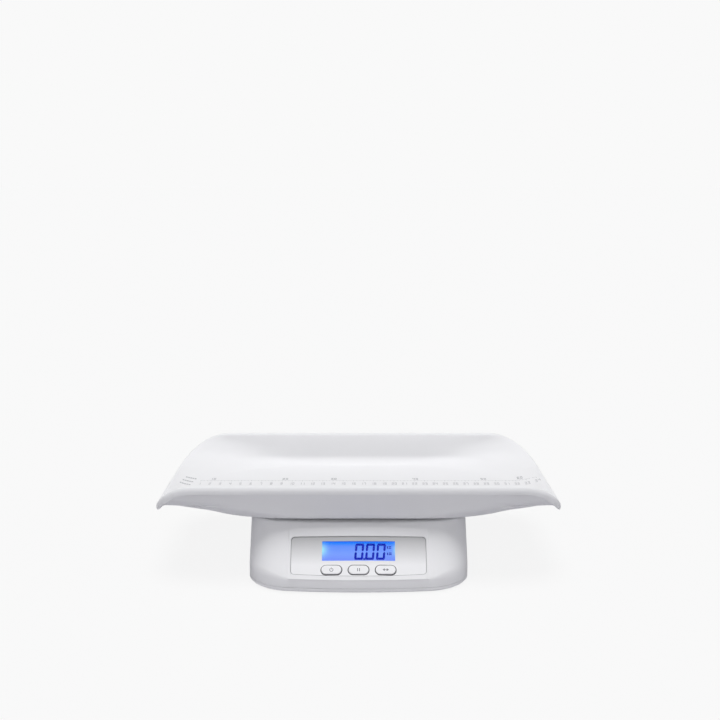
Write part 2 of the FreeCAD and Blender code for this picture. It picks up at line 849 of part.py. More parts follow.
def make_fascia():
    outer = leaning_body(size("panel_recess"))
    inner = leaning_body(size("panel_recess") + size("panel_wall"))
    panel = console_prism(panel_wire(-size("panel_clearance"))).common(outer.cut(inner))
    holes = [console_prism(window_wire(0))]
    for x in button_places().values():
        gap = 2 * size("button_clearance")
        wire = stadium_wire(size("button_length") + gap, size("button_width") + gap, x, size("button_centre"))
        holes.append(console_prism(wire))
    return panel.cut(holes)


foot_well = size("foot_diameter") + 2 * size("carrier_rim") + 2 * size("foot_well_clearance")


def foot_places():
    front = base_front_y + size("foot_front_inset")
    rear = base_rear_y - size("foot_rear_inset")
    boss = foot_well / 2 + size("foot_well_wall")
    beside_post = size("post_side_inset") + size("post_diameter") / 2 + size("foot_boss_gap")
    side = size("base_width") / 2 - beside_post - boss
    return {
        "front_left": (-side, front),
        "front_right": (side, front),
        "rear_left": (-side, rear),
        "rear_right": (side, rear),
    }


battery_pitch = size("battery_diameter") + size("battery_gap")
bay_length = size("battery_length") + 2 * size("contact_space")
bay_front_y = size("bay_front_y")
bay_rear_y = bay_front_y + size("bay_front_space") + 4 * battery_pitch + size("bay_rear_space")
bay_top_z = case_floor_z + size("battery_diameter") + size("bay_headroom")
hinge_y = bay_rear_y - size("fit_clearance") - size("hinge_radius")
hinge_z = size("case_bottom_z") + size("hinge_radius")


def make_lower_case():
    floor_z = case_floor_z
    rim_z = size("parting_z") - size("parting_gap")
    wall = size("case_wall")
    outer = skirt_prism(0, size("case_bottom_z"), rim_z)
    bottom_edges = [edge for edge in outer.Edges
                    if max(vertex.Z for vertex in edge.Vertexes) < size("case_bottom_z") + 0.01]
    outer = outer.makeChamfer(size("bottom_chamfer"), bottom_edges)
    shell = outer.cut(skirt_prism(wall, floor_z, rim_z + 1))
    lip_inset = wall + size("fit_clearance")
    lip_top = rim_z + size("lip_height")
    lip = skirt_prism(lip_inset, floor_z - 1, lip_top)
    lip = lip.cut(skirt_prism(lip_inset + size("lip_wall"), floor_z - 2, lip_top + 1))
    low_lip = skirt_prism(wall - 1, floor_z - 1, rim_z).cut(skirt_prism(lip_inset + 1, floor_z - 2, rim_z + 1))
    half = bay_length / 2
    out = size("bay_wall")
    bay = block(-half - out, half + out, bay_front_y - out, bay_rear_y + out, floor_z - 1, bay_top_z + out)
    added = [lip, low_lip, bay]
    for x, y in foot_places().values():
        added.append(upright(foot_well + 2 * size("foot_well_wall"), x, y, floor_z - 1, size("cell_seat_z")))
    for x, y in post_places():
        boss = size("screw_head_diameter") + 2 * size("screw_boss_wall")
        added.append(upright(boss, x, y, floor_z - 1, post_foot_z))
    case = shell.fuse(added)
    low = size("case_bottom_z") - 1
    holes = [block(-half, half, bay_front_y, bay_rear_y, low, bay_top_z)]
    for x, y in foot_places().values():
        holes.append(upright(foot_well, x, y, low, size("cell_seat_z") + 1))
    for x, y in post_places():
        head = size("screw_head_diameter") + size("screw_head_clearance")
        shank = size("screw_diameter") + size("screw_hole_clearance")
        holes.append(upright(head, x, y, low, screw_seat_z))
        holes.append(upright(shank, x, y, low, post_foot_z + 1))
    pin = size("hinge_pin_diameter") / 2 + size("hinge_pin_clearance")
    reach = half + size("hinge_pin_length") + size("hinge_pin_clearance")
    pin_hole = Part.makeCylinder(pin, 2 * reach, Vector(-reach, hinge_y, hinge_z), Vector(1, 0, 0))
    holes.append(pin_hole)
    return case.cut(holes).removeSplitter()


def make_battery_door():
    """A flat lid whose rear edge is a round roll on the hinge line, with a pin at each end."""
    half = bay_length / 2 - size("fit_clearance")
    front = bay_front_y + size("fit_clearance")
    low = size("case_bottom_z")
    plate = block(-half, half, front, hinge_y, low, low + size("door_thickness"))
    along = Vector(1, 0, 0)
    roll = Part.makeCylinder(size("hinge_radius"), 2 * half, Vector(-half, hinge_y, hinge_z), along)
    reach = half + size("fit_clearance") + size("hinge_pin_length") - size("hinge_pin_clearance")
    pins = Part.makeCylinder(size("hinge_pin_diameter") / 2, 2 * reach, Vector(-reach, hinge_y, hinge_z), along)
    ribs = []
    across = size("grip_rib_length") / 2
    top = low + size("door_thickness")
    for index in range(3):
        y = front + size("grip_rib_inset") + index * size("grip_rib_pitch")
        ribs.append(block(-across, across, y, y + size("grip_rib_width"),
                          low + 1, top + size("grip_rib_height")))
    return plate.fuse([roll, pins] + ribs).removeSplitter()


# ---------------------------------------------------------------- display and board


def make_window():
    """A stepped clear cover: its boss fills the fascia's opening, its flange lies behind."""
    back = size("display_gap") - glass_depth
    flange_half = size("window_length") / 2 + size("window_flange")
    step = -(panel_back + panel_sink(flange_half) + size("display_gap"))
    body = new_body("display_window")
    flange = level_sketch(body, "window_flange_sketch")
    draw_rectangle(flange, "window_length + 2 * window_flange", "window_width + 2 * window_flange")
    first = pad(body, "window_flange_pad", flange, str(step - back))
    boss = level_sketch(body, "window_boss_sketch", str(step - back))
    draw_rectangle(boss, "window_length - 2 * panel_clearance", "window_width - 2 * panel_clearance")
    pad(body, "window_boss_pad", boss, "window_boss_height")
    keep("display_window", body, console_place(0, size("window_centre"), back))
    return first


glass_length = "window_length + 2 * glass_margin"
glass_width = "window_width + 2 * glass_margin"


def make_lcd():
    body = new_body("lcd_glass")
    low = level_sketch(body, "glass_low_sketch")
    draw_rectangle(low, glass_length, glass_width)
    pad(body, "glass_low_pad", low, "glass_thickness / 2")
    high = level_sketch(body, "glass_high_sketch", "glass_thickness / 2")
    draw_rectangle(high, glass_length, glass_width + " - glass_ledge")
    pad(body, "glass_high_pad", high, "glass_thickness / 2")
    keep("lcd_glass", body, console_place(0, size("window_centre"), -glass_depth - size("glass_thickness")))
    light = new_body("lcd_backlight")
    box = level_sketch(light, "light_sketch")
    draw_rectangle(box, glass_length + " - 2 * light_inset", glass_width + " - 2 * light_inset")
    pad(light, "light_pad", box, "light_thickness")
    keep("lcd_backlight", light, console_place(0, size("window_centre"), board_face))


def make_board():
    body = new_body("main_board")
    plate = level_sketch(body, "board_sketch")
    post_side = "( window_length / 2 + glass_margin + board_post_clearance + board_post_diameter / 2 )"
    draw_rectangle(plate, f"2 * {post_side} + 2 * board_edge", "board_width")
    pad(body, "board_pad", plate, "board_thickness")
    holes = level_sketch(body, "board_holes_sketch")
    for sign_x in ("", "-"):
        for sign_y in ("", "-"):
            draw_circle(holes, "board_hole_diameter", f"{sign_x}1 * {post_side}",
                        f"{sign_y}1 * ( board_width / 2 - board_hole_inset )")
    pocket(body, "board_holes", holes, "board_thickness")
    keep("main_board", body, console_place(0, size("board_centre"), board_back))


def make_chip():
    body = new_body("controller_chip")
    sketch = level_sketch(body, "chip_sketch")
    draw_rectangle(sketch, "chip_side", "chip_side")
    pad(body, "chip_pad", sketch, "chip_height")
    keep("controller_chip", body, console_place(size("chip_across"), size("board_centre") + size("chip_up"),
                                                board_back - size("chip_height")))


def make_switches():
    for name, x in button_places().items():
        body = new_body("tact_switch_" + name)
        sketch = level_sketch(body, "switch_sketch_" + name)
        draw_rectangle(sketch, "switch_side", "switch_side")
        pad(body, "switch_pad_" + name, sketch, "switch_height")
        well = level_sketch(body, "well_sketch_" + name, "switch_height - plunger_seat - 2 * button_travel")
        draw_circle(well, "plunger_diameter + 2 * fit_clearance", "0", "0")
        pocket(body, "well_" + name, well, "plunger_seat + 2 * button_travel")
        keep("tact_switch_" + name, body, console_place(x, size("button_centre"), board_face))
        plunger = cylinder("plunger_" + name, "plunger_diameter", "plunger_height + plunger_seat")
        lift = board_face + size("switch_height") - size("plunger_seat")
        keep("switch_plunger_" + name, plunger, console_place(x, size("button_centre"), lift))


def make_buttons():
    """A stadium cap, a wider flange behind the wall and a stem that stands on the switch."""
    foot = board_face + size("switch_height") + size("plunger_height")
    flange_top = size("display_gap") - glass_depth
    cap_top = size("button_proud") - size("panel_recess")
    stem_height = flange_top - size("button_flange_thickness") - foot
    for name, x in button_places().items():
        body = new_body("button_" + name)
        stem = level_sketch(body, "stem_sketch_" + name)
        draw_circle(stem, "stem_diameter", "0", "0")
        pad(body, "stem_pad_" + name, stem, str(stem_height))
        flange = level_sketch(body, "flange_sketch_" + name, str(stem_height))
        draw_stadium(flange, "button_length + 2 * button_flange", "button_width + 2 * button_flange")
        pad(body, "flange_pad_" + name, flange, "button_flange_thickness")
        cap = level_sketch(body, "cap_sketch_" + name, str(flange_top - foot))
        draw_stadium(cap, "button_length", "button_width")
        crown = pad(body, "cap_pad_" + name, cap, str(cap_top - flange_top))
        doc.recompute()
        rounding = body.newObject("PartDesign::Chamfer", "cap_edge_" + name)
        top = cap_top - foot
        edges = []
        for index, edge in enumerate(crown.Shape.Edges, start=1):
            if min(vertex.Z for vertex in edge.Vertexes) > top - 0.01:
                edges.append(f"Edge{index}")
        rounding.Base = (crown, edges)
        bind(rounding, Size=cells("button_edge"))
        keep("button_" + name, body, console_place(x, size("button_centre"), foot))


# ---------------------------------------------------------------- feet, load cells, batteries


def make_feet():
    for name, (x, y) in foot_places().items():
        foot = cylinder("foot_disc_" + name, "foot_diameter", "foot_height")
        keep("rubber_foot_" + name, foot, Placement(Vector(x, y, 0), Rotation()))
        disc = cylinder("carrier_disc_" + name, "foot_diameter + 2 * carrier_rim", "carrier_height")
        hub = cylinder("carrier_hub_" + name, "hub_diameter", "cell_seat_z - foot_height")
        carrier = fuse("carrier_" + name, [disc, hub])
        keep("foot_carrier_" + name, carrier, Placement(Vector(x, y, size("foot_height")), Rotation()))


def make_load_cells():
    """A square steel plate; a U-shaped slot leaves a tongue that the foot presses upwards."""
    for name, (x, y) in foot_places().items():
        body = new_body("load_cell_" + name)
        sketch = level_sketch(body, "cell_sketch_" + name)
        draw_rectangle(sketch, "cell_plate_side", "cell_plate_side")
        pad(body, "cell_pad_" + name, sketch, "cell_plate_thickness")
        slot = level_sketch(body, "slot_sketch_" + name)
        half = size("cell_plate_side") / 2 - size("cell_slot_inset")
        slim = size("cell_slot_width")
        points = [(-half, -half), (half, -half), (half, half), (half - slim, half), (half - slim, slim - half),
                  (slim - half, slim - half), (slim - half, half), (-half, half)]
        count = len(points)
        for index in range(count):
            start = Vector(*points[index], 0)
            stop = Vector(*points[(index + 1) % count], 0)
            slot.addGeometry(Part.LineSegment(start, stop), False)
        for index in range(count):
            slot.addConstraint(Sketcher.Constraint("Coincident", index, 2, (index + 1) % count, 1))
            slot.addConstraint(Sketcher.Constraint("Block", index))
        pocket(body, "slot_pocket_" + name, slot, "cell_plate_thickness")
        keep("load_cell_" + name, body, Placement(Vector(x, y, size("cell_seat_z")), Rotation()))


def battery_rows():
    first = bay_front_y + size("bay_front_space") + size("battery_diameter") / 2
    return [first + index * battery_pitch for index in range(4)]


battery_z = case_floor_z + size("battery_lift") + size("battery_diameter") / 2


def make_batteries():
    for number, y in enumerate(battery_rows(), start=1):
        can = cylinder(f"battery_can_{number}", "battery_diameter", "battery_length")
        nub = cylinder(f"battery_nub_{number}", "battery_nub_diameter", "battery_nub_length", "battery_length")
        cell = fuse(f"battery_{number}", [can, nub])
        facing = 1 if number % 2 else -1
        start = Vector(-facing * size("battery_length") / 2, y, battery_z)
        keep(f"aaa_cell_{number}", cell, Placement(start, Rotation(Vector(0, 1, 0), 90 * facing)))


def make_contacts():
    """Plates on both end walls of the bay, with a boss for each nub and a cone for each flat end."""
    wall_x = bay_length / 2
    thick = size("contact_thickness")
    nub_end = size("battery_length") / 2 + size("battery_nub_length") + size("fit_clearance")
    flat_end = size("battery_length") / 2 + size("fit_clearance")
    rows = battery_rows()
    half = size("contact_height") / 2
    banks = ((1, "right", [rows[:2], rows[2:]]), (-1, "left", [rows[:1], rows[1:3], rows[3:]]))
    for side, name, groups in banks:
        pieces = []
        for group in groups:
            inner, outer = sorted((side * (wall_x - thick), side * wall_x))
            plate = block(inner, outer, group[0] - half, group[-1] + half, battery_z - half, battery_z + half)
            studs = []
            for y in group:
                start = Vector(side * (wall_x - thick / 2), y, battery_z)
                if (rows.index(y) % 2 == 0) == (side > 0):
                    studs.append(Part.makeCylinder(size("contact_boss_diameter") / 2, start.x * side - nub_end,
                                                   start, Vector(-side, 0, 0)))
                else:
                    wide = size("contact_cone_diameter") / 2
                    studs.append(Part.makeCone(wide, wide / 2, start.x * side - flat_end,
                                               start, Vector(-side, 0, 0)))
            pieces.append(plate.fuse(studs))
        add_shape("battery_contacts_" + name, Part.makeCompound(pieces))


def screw(x, y, seat_z):
    head = upright(size("screw_head_diameter"), x, y, seat_z - size("screw_head_height"), seat_z)
    shank = upright(size("screw_diameter") - size("screw_fit"), x, y, seat_z, seat_z + size("screw_length"))
    low = seat_z - size("screw_head_height")
    high = low + size("cross_depth")
    arm = size("screw_head_diameter") / 2 - size("cross_margin")
    slim = size("cross_width") / 2
    cross = block(x - arm, x + arm, y - slim, y + slim, low, high)
    cross = cross.fuse(block(x - slim, x + slim, y - arm, y + arm, low, high))
    return head.fuse(shank).cut(cross)


add_shape("tray", make_tray())
add_shape("upper_case", make_upper_case())
add_shape("lower_case", make_lower_case())
add_shape("fascia_panel", make_fascia())
add_shape("battery_door", make_battery_door())
make_window()
make_lcd()
make_board()
make_chip()
make_switches()
make_buttons()
make_feet()
make_load_cells()
make_batteries()
make_contacts()
add_shape("case_screws", Part.makeCompound([screw(x, y, screw_seat_z) for x, y in post_places()]))

doc.recompute()
os.makedirs("parts", exist_ok=True)
for item in doc.Objects:
    if "Invalid" in item.State or "Error" in item.State:
        raise RuntimeError("failed: " + item.Name)
for part in parts:
    if part.Shape.isNull() or not part.Shape.isValid():
        raise RuntimeError("bad shape: " + part.Label)
for part in parts:
    part.Shape.exportStep("parts/" + part.Label + ".step")
    print(part.Label, len(part.Shape.Solids), round(part.Shape.Volume))
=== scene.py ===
import math

import bpy
import numpy as np
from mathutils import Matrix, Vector
from mathutils.bvhtree import BVHTree


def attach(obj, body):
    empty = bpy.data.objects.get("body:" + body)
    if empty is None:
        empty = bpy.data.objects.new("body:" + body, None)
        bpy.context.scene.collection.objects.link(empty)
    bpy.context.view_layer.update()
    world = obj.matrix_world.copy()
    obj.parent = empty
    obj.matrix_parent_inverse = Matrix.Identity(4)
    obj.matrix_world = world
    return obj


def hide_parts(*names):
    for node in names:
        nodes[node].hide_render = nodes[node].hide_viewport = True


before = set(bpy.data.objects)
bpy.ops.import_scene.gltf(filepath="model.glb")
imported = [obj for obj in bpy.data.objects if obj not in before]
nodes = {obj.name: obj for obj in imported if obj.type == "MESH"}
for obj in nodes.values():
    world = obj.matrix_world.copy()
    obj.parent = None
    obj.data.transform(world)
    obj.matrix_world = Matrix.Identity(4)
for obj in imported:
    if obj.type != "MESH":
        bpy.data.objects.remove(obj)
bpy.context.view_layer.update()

# ---------------------------------------------------------------- camera and studio
# An eye in front and a little above, one broad soft light overhead and an even pale surround.
# The floor and the surround are seen as paper white, and light the scale as a plain grey floor would.
# From below the floor is clear, so that the underside can be looked at.


def add_object(name, data):
    """A new object at the origin."""
    made = bpy.data.objects.new(name, data)
    bpy.context.scene.collection.objects.link(made)
    return made


LOOK_DOWN = 9.95
camera = add_object("camera", bpy.data.cameras.new("camera"))
camera.data.lens = 55
camera.data.sensor_width = 36
camera.location = (0.0019, -1.516, 0.546)
camera.rotation_euler = (math.radians(90 - LOOK_DOWN), 0, 0)
bpy.context.scene.camera = camera
bpy.context.scene.view_settings.view_transform = "Standard"

PAPER = (0.947, 0.947, 0.947, 1)


def add_soft_sun(name, strength, softness, tilt, turn):
    """A distant light with a wide disc, tilted away from overhead; the angles are in degrees."""
    data = bpy.data.lights.new(name, "SUN")
    data.energy = strength
    data.angle = math.radians(softness)
    add_object(name, data).rotation_euler = (math.radians(tilt), 0, math.radians(turn))


def give(node, *values):
    """Set a node's inputs, each by its name and its value."""
    for name, value in values:
        node.inputs[name].default_value = value


def wire(tree, *links):
    """Link nodes; each link gives a node, its output, the next node and its input."""
    for source, output, target, entry in links:
        tree.links.new(source.outputs[output], target.inputs[entry])


def feed(tree, sockets, values):
    """Give sockets their values: a number or a colour is set, an output is linked, None is left out."""
    for socket, value in zip(sockets, values):
        if isinstance(value, bpy.types.NodeSocket):
            tree.links.new(value, socket)
        elif value is not None:
            socket.default_value = value


def add_math(tree, operation, first, second=None):
    """A math node on outputs or plain numbers."""
    node = tree.nodes.new("ShaderNodeMath")
    node.operation = operation
    feed(tree, node.inputs, (first, second))
    return node.outputs[0]


def mix_shaders(tree, share, first, second):
    """The first shader, with the given share of the second."""
    node = tree.nodes.new("ShaderNodeMixShader")
    feed(tree, node.inputs, (share, first, second))
    return node.outputs[0]


def seen_by_camera(tree):
    """One where a ray comes from the camera, a mirror or clear glass, else nought."""
    path = tree.nodes.new("ShaderNodeLightPath").outputs
    seen = add_math(tree, "MAXIMUM", path["Is Camera Ray"], path["Is Glossy Ray"])
    return add_math(tree, "MAXIMUM", seen, path["Is Transmission Ray"])


world = bpy.data.worlds.new("surround")
bpy.context.scene.world = world
world.use_nodes = True
air = world.node_tree
air.nodes.clear()
sky = air.nodes.new("ShaderNodeBackground")
give(sky, ("Color", (0.97, 0.975, 1, 1)), ("Strength", 0.25))
paper = air.nodes.new("ShaderNodeBackground")
paper.inputs["Color"].default_value = PAPER
out = air.nodes.new("ShaderNodeOutputWorld")
air.links.new(mix_shaders(air, seen_by_camera(air), sky.outputs[0], paper.outputs[0]), out.inputs["Surface"])

add_soft_sun("overhead", 2.08, 32, 7, 0)
add_soft_sun("front_fill", 0.60, 40, 72, 0)
add_soft_sun("left_fill", 0.24, 30, 80, -90)
add_soft_sun("right_fill", 0.24, 30, 80, 90)

FLOOR = {"half": 30, "z": -0.0002, "bounce": (0.48, 0.475, 0.51, 1), "glow": 0.928, "shade": 0.068}
floor_mesh = bpy.data.meshes.new("floor")
floor_mesh.from_pydata([(x * FLOOR["half"], y * FLOOR["half"], FLOOR["z"])
                        for x, y in ((-1, -1), (1, -1), (1, 1), (-1, 1))], [], [(0, 1, 2, 3)])
floor = add_object("floor", floor_mesh)
ground = bpy.data.materials.new("floor_paper")
ground.use_nodes = True
earth = ground.node_tree
earth.nodes.clear()
grey = earth.nodes.new("ShaderNodeBsdfDiffuse")
grey.inputs["Color"].default_value = FLOOR["bounce"]
glow = earth.nodes.new("ShaderNodeEmission")
give(glow, ("Color", PAPER), ("Strength", FLOOR["glow"]))
faint = earth.nodes.new("ShaderNodeBsdfDiffuse")
faint.inputs["Color"].default_value = (FLOOR["shade"],) * 3 + (1,)
both = earth.nodes.new("ShaderNodeAddShader")
clear = earth.nodes.new("ShaderNodeBsdfTransparent")
side = earth.nodes.new("ShaderNodeNewGeometry")
out = earth.nodes.new("ShaderNodeOutputMaterial")
wire(earth, (glow, 0, both, 0), (faint, 0, both, 1))
pick = mix_shaders(earth, seen_by_camera(earth), grey.outputs[0], both.outputs[0])
seen = mix_shaders(earth, side.outputs["Backfacing"], pick, clear.outputs[0])
earth.links.new(seen, out.inputs["Surface"])
floor_mesh.materials.append(ground)

# ---------------------------------------------------------------- tray
# The cradle is one moulding of white plastic, 550 mm long. A bend lifts its flat floor into steep
# side walls and shallow end ramps, and its rim rolls over into a hanging flange.

MM = 0.001
# Millimetres and degrees. A pair named "..._from" is where a blend starts and where it is complete.
TRAY = {
    "length": 550, "width": 301, "centre_y": 14, "corner": 65, "rim_z": 136, "floor_z": 89.6,
    "wall": 3, "thin_wall": 2.2, "wall_angle": 74, "bend": 18, "outer_bend": 12, "wall_start": 1.8,
    "past_rim": 6, "end_slope": 20, "end_bend_run": 12.6, "end_knee_inset": 17.8, "land": 4,
    "fall_start": (213, 200), "fall_radius": (70, 92), "back_from": (-40, 60),
    "crest_inset": 4.2, "inner_roll": 5, "outer_roll": 7.5,
    "flange": 11, "least_flange": 2.2, "flange_edge": 0.7,
    "corner_drop": 3, "drop_from": (240, 252), "end_lift": 5.5, "lift_from": (269, 275),
    "ledge": 0.25, "slot": 2, "slot_from": (6, 14), "fill_from": (4, 12),
}
# How far each level's corner reaches along and across, from the floor's edge to above the rim.
PAN_CORNERS = [(176, 106), (172, 128), (135, 81), (105.4, 43.4), (50, 50)]
OUTER_CORNERS = [(124, 124), (178, 130), (166, 106), (125, 54), (50, 50)]
# Rows of points in one section: up the wall, over the crest, down to the flange, its edge, the underside.
WALL_ROWS, CREST_ROWS, FLANGE_ROWS, EDGE_ROWS, UNDER_ROWS = 30, 6, 12, 5, 32
UNDER_START = WALL_ROWS + CREST_ROWS + FLANGE_ROWS + EDGE_ROWS
# Four pegs under the floor stand in the seats of the base.
SEATS = [(-114, -84.78), (114, -84.78), (-114, 97.5), (114, 97.5)]
PEG = {"radius": 4, "low": 81.6, "high": 88, "chamfer": 0.6}


def object_axes(tree):
    """The three coordinates of a place on the object, in metres."""
    place = tree.nodes.new("ShaderNodeTexCoord")
    apart = tree.nodes.new("ShaderNodeSeparateXYZ")
    tree.links.new(place.outputs["Object"], apart.inputs["Vector"])
    return apart.outputs


def mix_colours(tree, share, first, second, kind="MIX"):
    """A colour mixed of two, or the first times the second; each is an output or a plain colour."""
    node = tree.nodes.new("ShaderNodeMix")
    node.data_type = "RGBA"
    node.blend_type = kind
    feed(tree, [node.inputs[name] for name in ("Factor", "A", "B")], (share, first, second))
    return node.outputs["Result"]


def mould_grain_group():
    """Fine texture and slight unevenness of a finish; Stretch under one draws it out along an axis."""
    group = bpy.data.node_groups.new("MouldGrain", "ShaderNodeTree")
    for name, kind, start in (("Grain Scale", "Float", 2600), ("Drift Scale", "Float", 14),
                              ("Tint A", "Color", (1, 1, 1, 1)), ("Tint B", "Color", (1, 1, 1, 1)),
                              ("Rough Low", "Float", 0.34), ("Rough High", "Float", 0.44),
                              ("Stretch", "Vector", (1, 1, 1))):
        socket = group.interface.new_socket(name, in_out="INPUT", socket_type="NodeSocket" + kind)
        socket.default_value = start
    for name, kind in (("Colour", "Color"), ("Roughness", "Float"), ("Height", "Float")):
        group.interface.new_socket(name, in_out="OUTPUT", socket_type="NodeSocket" + kind)
    given = group.nodes.new("NodeGroupInput")
    result = group.nodes.new("NodeGroupOutput")
    place = group.nodes.new("ShaderNodeTexCoord")
    grain = group.nodes.new("ShaderNodeTexNoise")
    drift = group.nodes.new("ShaderNodeTexNoise")
    rough = group.nodes.new("ShaderNodeMapRange")
    drawn = group.nodes.new("ShaderNodeVectorMath")
    drawn.operation = "MULTIPLY"
    wire(group, (place, "Object", drawn, 0), (given, "Stretch", drawn, 1),
         (drawn, "Vector", grain, "Vector"), (place, "Object", drift, "Vector"),
         (given, "Grain Scale", grain, "Scale"), (given, "Drift Scale", drift, "Scale"),
         (grain, "Fac", rough, "Value"), (given, "Rough Low", rough, "To Min"),
         (given, "Rough High", rough, "To Max"), (rough, "Result", result, "Roughness"),
         (grain, "Fac", result, "Height"))
    colour = mix_colours(group, drift.outputs["Fac"], given.outputs["Tint A"], given.outputs["Tint B"])
    group.links.new(colour, result.inputs["Colour"])
    return group


mould_grain = mould_grain_group()


def new_material(name):
    """A material, its tree and its principled shader."""
    material = bpy.data.materials.new(name)
    material.use_nodes = True
    return material, material.node_tree, material.node_tree.nodes["Principled BSDF"]


def plastic(name, tint_a, tint_b, rough, bump=0.02, grain=2600, drift=14, gloss=0.25, stretch=(1, 1, 1)):
    """A moulded plastic: two close tints, a roughness range and a fine bump."""
    material, tree, shader = new_material(name)
    give(shader, ("IOR", 1.46), ("Specular IOR Level", gloss))
    made = tree.nodes.new("ShaderNodeGroup")
    made.node_tree = mould_grain
    give(made, ("Grain Scale", grain), ("Drift Scale", drift), ("Stretch", stretch),
         ("Tint A", (*tint_a, 1)), ("Tint B", (*tint_b, 1)),
         ("Rough Low", rough[0]), ("Rough High", rough[1]))
    relief = tree.nodes.new("ShaderNodeBump")
    give(relief, ("Strength", bump), ("Distance", 0.0002))
    wire(tree, (made, "Colour", shader, "Base Color"), (made, "Roughness", shader, "Roughness"),
         (made, "Height", relief, "Height"), (relief, "Normal", shader, "Normal"))
    return material


shell_white = plastic("shell_white", (0.815, 0.815, 0.83), (0.83, 0.83, 0.842), (0.50, 0.60), gloss=0.15)


def new_piece(name, points, faces, material, body, smooth_angle=40):
    """A mesh in metres at its place, shaded smooth up to an angle, riding on its body."""
    mesh = bpy.data.meshes.new(name)
    mesh.from_pydata([tuple(p) for p in points], [], [tuple(f) for f in faces])
    mesh.validate()
    mesh.materials.append(material)
    mesh.polygons.foreach_set("use_smooth", [True] * len(mesh.polygons))
    mesh.set_sharp_from_angle(angle=math.radians(smooth_angle))
    mesh.update()
    piece = add_object(name, mesh)
    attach(piece, body)
    return piece


def pan_levels(extra):
    """Level outlines of the pan's surface: half length, half width, two corner sizes and height."""
    steep = math.radians(TRAY["wall_angle"])
    shallow = math.radians(TRAY["end_slope"])
    depth = TRAY["rim_z"] - TRAY["floor_z"]
    bend = TRAY["outer_bend"] if extra else TRAY["bend"]
    bend_height = bend * (1 - math.cos(steep))
    rise = TRAY["bend"] * (1 - math.cos(steep))
    reach = TRAY["bend"] * math.sin(steep) + (depth - rise) / math.tan(steep)
    side_knee = TRAY["width"] / 2 - TRAY["land"] - reach + (TRAY["bend"] + extra) * math.tan(steep / 2)
    side_foot = side_knee - bend * math.tan(steep / 2)
    end_foot = TRAY["length"] / 2 - TRAY["end_knee_inset"] - TRAY["end_bend_run"]
    end_knee = TRAY["length"] / 2 - TRAY["end_knee_inset"] + extra * math.tan(shallow / 2)
    corners = OUTER_CORNERS if extra else PAN_CORNERS
    levels = []
    heights = (0, 0, bend_height, bend_height * TRAY["wall_start"], depth + extra + TRAY["past_rim"])
    for index, height in enumerate(heights):
        half_length = end_knee + height / math.tan(shallow) if index else end_foot
        half_width = side_knee + height / math.tan(steep) if index else side_foot
        grow = extra if index else 0
        corner = [side + grow for side in corners[index]]
        levels.append((half_length, half_width, corner[0], corner[1], TRAY["floor_z"] - extra + height))
    return levels


def pan_stations(counts=(64, 44, 20)):
    """Places round a quarter of the pan, from the middle of the front to the middle of an end."""
    along, turn, across = counts
    front = [("front", share) for share in np.linspace(0, 1, along, endpoint=False)]
    corner = [("corner", share) for share in np.linspace(0, 1, turn, endpoint=False)]
    end = [("end", share) for share in np.linspace(1, 0, across)]
    return front + corner + end


def weighted_place(level, station):
    """A place on one level as a weighted point: each corner is a conic."""
    half_length, half_width, corner_length, corner_width, z = level
    kind, share = station
    if kind == "front":
        return np.array([share * (half_length - corner_length), -half_width, z, 1])
    if kind == "end":
        return np.array([half_length, -share * (half_width - corner_width), z, 1])
    poles = [(half_length - corner_length, -half_width), (half_length, -half_width),
             (half_length, corner_width - half_width)]
    basis = [(1 - share) ** 2, 2 * share * (1 - share) * math.sqrt(0.5), share ** 2]
    total = np.zeros(4)
    for (x, y), portion in zip(poles, basis):
        total += portion * np.array([x, y, z, 1])
    return total


class Pan:
    """The inner or outer surface of the pan, as conics from its floor to above its rim."""

    def __init__(self, extra):
        levels = pan_levels(extra)
        self.columns = [[weighted_place(level, station) for level in levels] for station in pan_stations()]
        self.bend_weight = math.cos(math.radians(TRAY["wall_angle"]) / 2)

    def point(self, station, climb):
        """A point at climb 0..1 round the bend or 1..2 up the wall."""
        column = self.columns[station]
        share = climb if climb <= 1 else climb - 1
        three = column[:3] if climb <= 1 else column[2:]
        middle = self.bend_weight if climb <= 1 else 1
        basis = [(1 - share) ** 2, 2 * share * (1 - share) * middle, share ** 2]
        total = sum(portion * pole for portion, pole in zip(basis, three))
        return total[:3] / total[3]


def from_rim(x, y):
    """Distance inside the tray's outline, and the outward direction."""
    half_x = TRAY["length"] / 2 - TRAY["corner"]
    half_y = TRAY["width"] / 2 - TRAY["corner"]
    over_x, over_y = abs(x) - half_x, abs(y) - half_y
    if over_x > 0 and over_y > 0:
        away = math.hypot(over_x, over_y)
        return TRAY["corner"] - away, np.array([over_x / away, -over_y / away])
    if over_x > over_y:
        return TRAY["corner"] - over_x, np.array([1.0, 0.0])
    return TRAY["corner"] - over_y, np.array([0.0, -1.0])


def smooth_step(low, high, value):
    """Nought up to a low value, one from a high value, and an even curve between."""
    share = min(max((value - low) / (high - low), 0), 1)
    return share * share * (3 - 2 * share)


def rim_height(x, y):
    """The rim's side view: level, then an arc down to each end, sooner at the back than at the front."""
    late, early = [
        radius - math.sqrt(radius ** 2 - max(abs(x) - start, 0) ** 2)
        for start, radius in zip(TRAY["fall_start"], TRAY["fall_radius"])
    ]
    back = smooth_step(*TRAY["back_from"], y)
    return TRAY["rim_z"] - late - (early - late) * back


def wall_at(pan, station, climb):
    """A point of the pan's wall, its distance inside the outline, the way out and the slope there."""
    here = pan.point(station, climb)
    ahead = pan.point(station, climb + 0.004) - here
    distance, outward = from_rim(here[0], here[1])
    return here, distance, outward, math.atan2(ahead[2], float(ahead[:2] @ outward))


def search(test, low, high):
    """Where a rising test turns positive, by halving."""
    for _ in range(26):
        middle = (low + high) / 2
        if test(middle) > 0:
            high = middle
        else:
            low = middle
    return (low + high) / 2


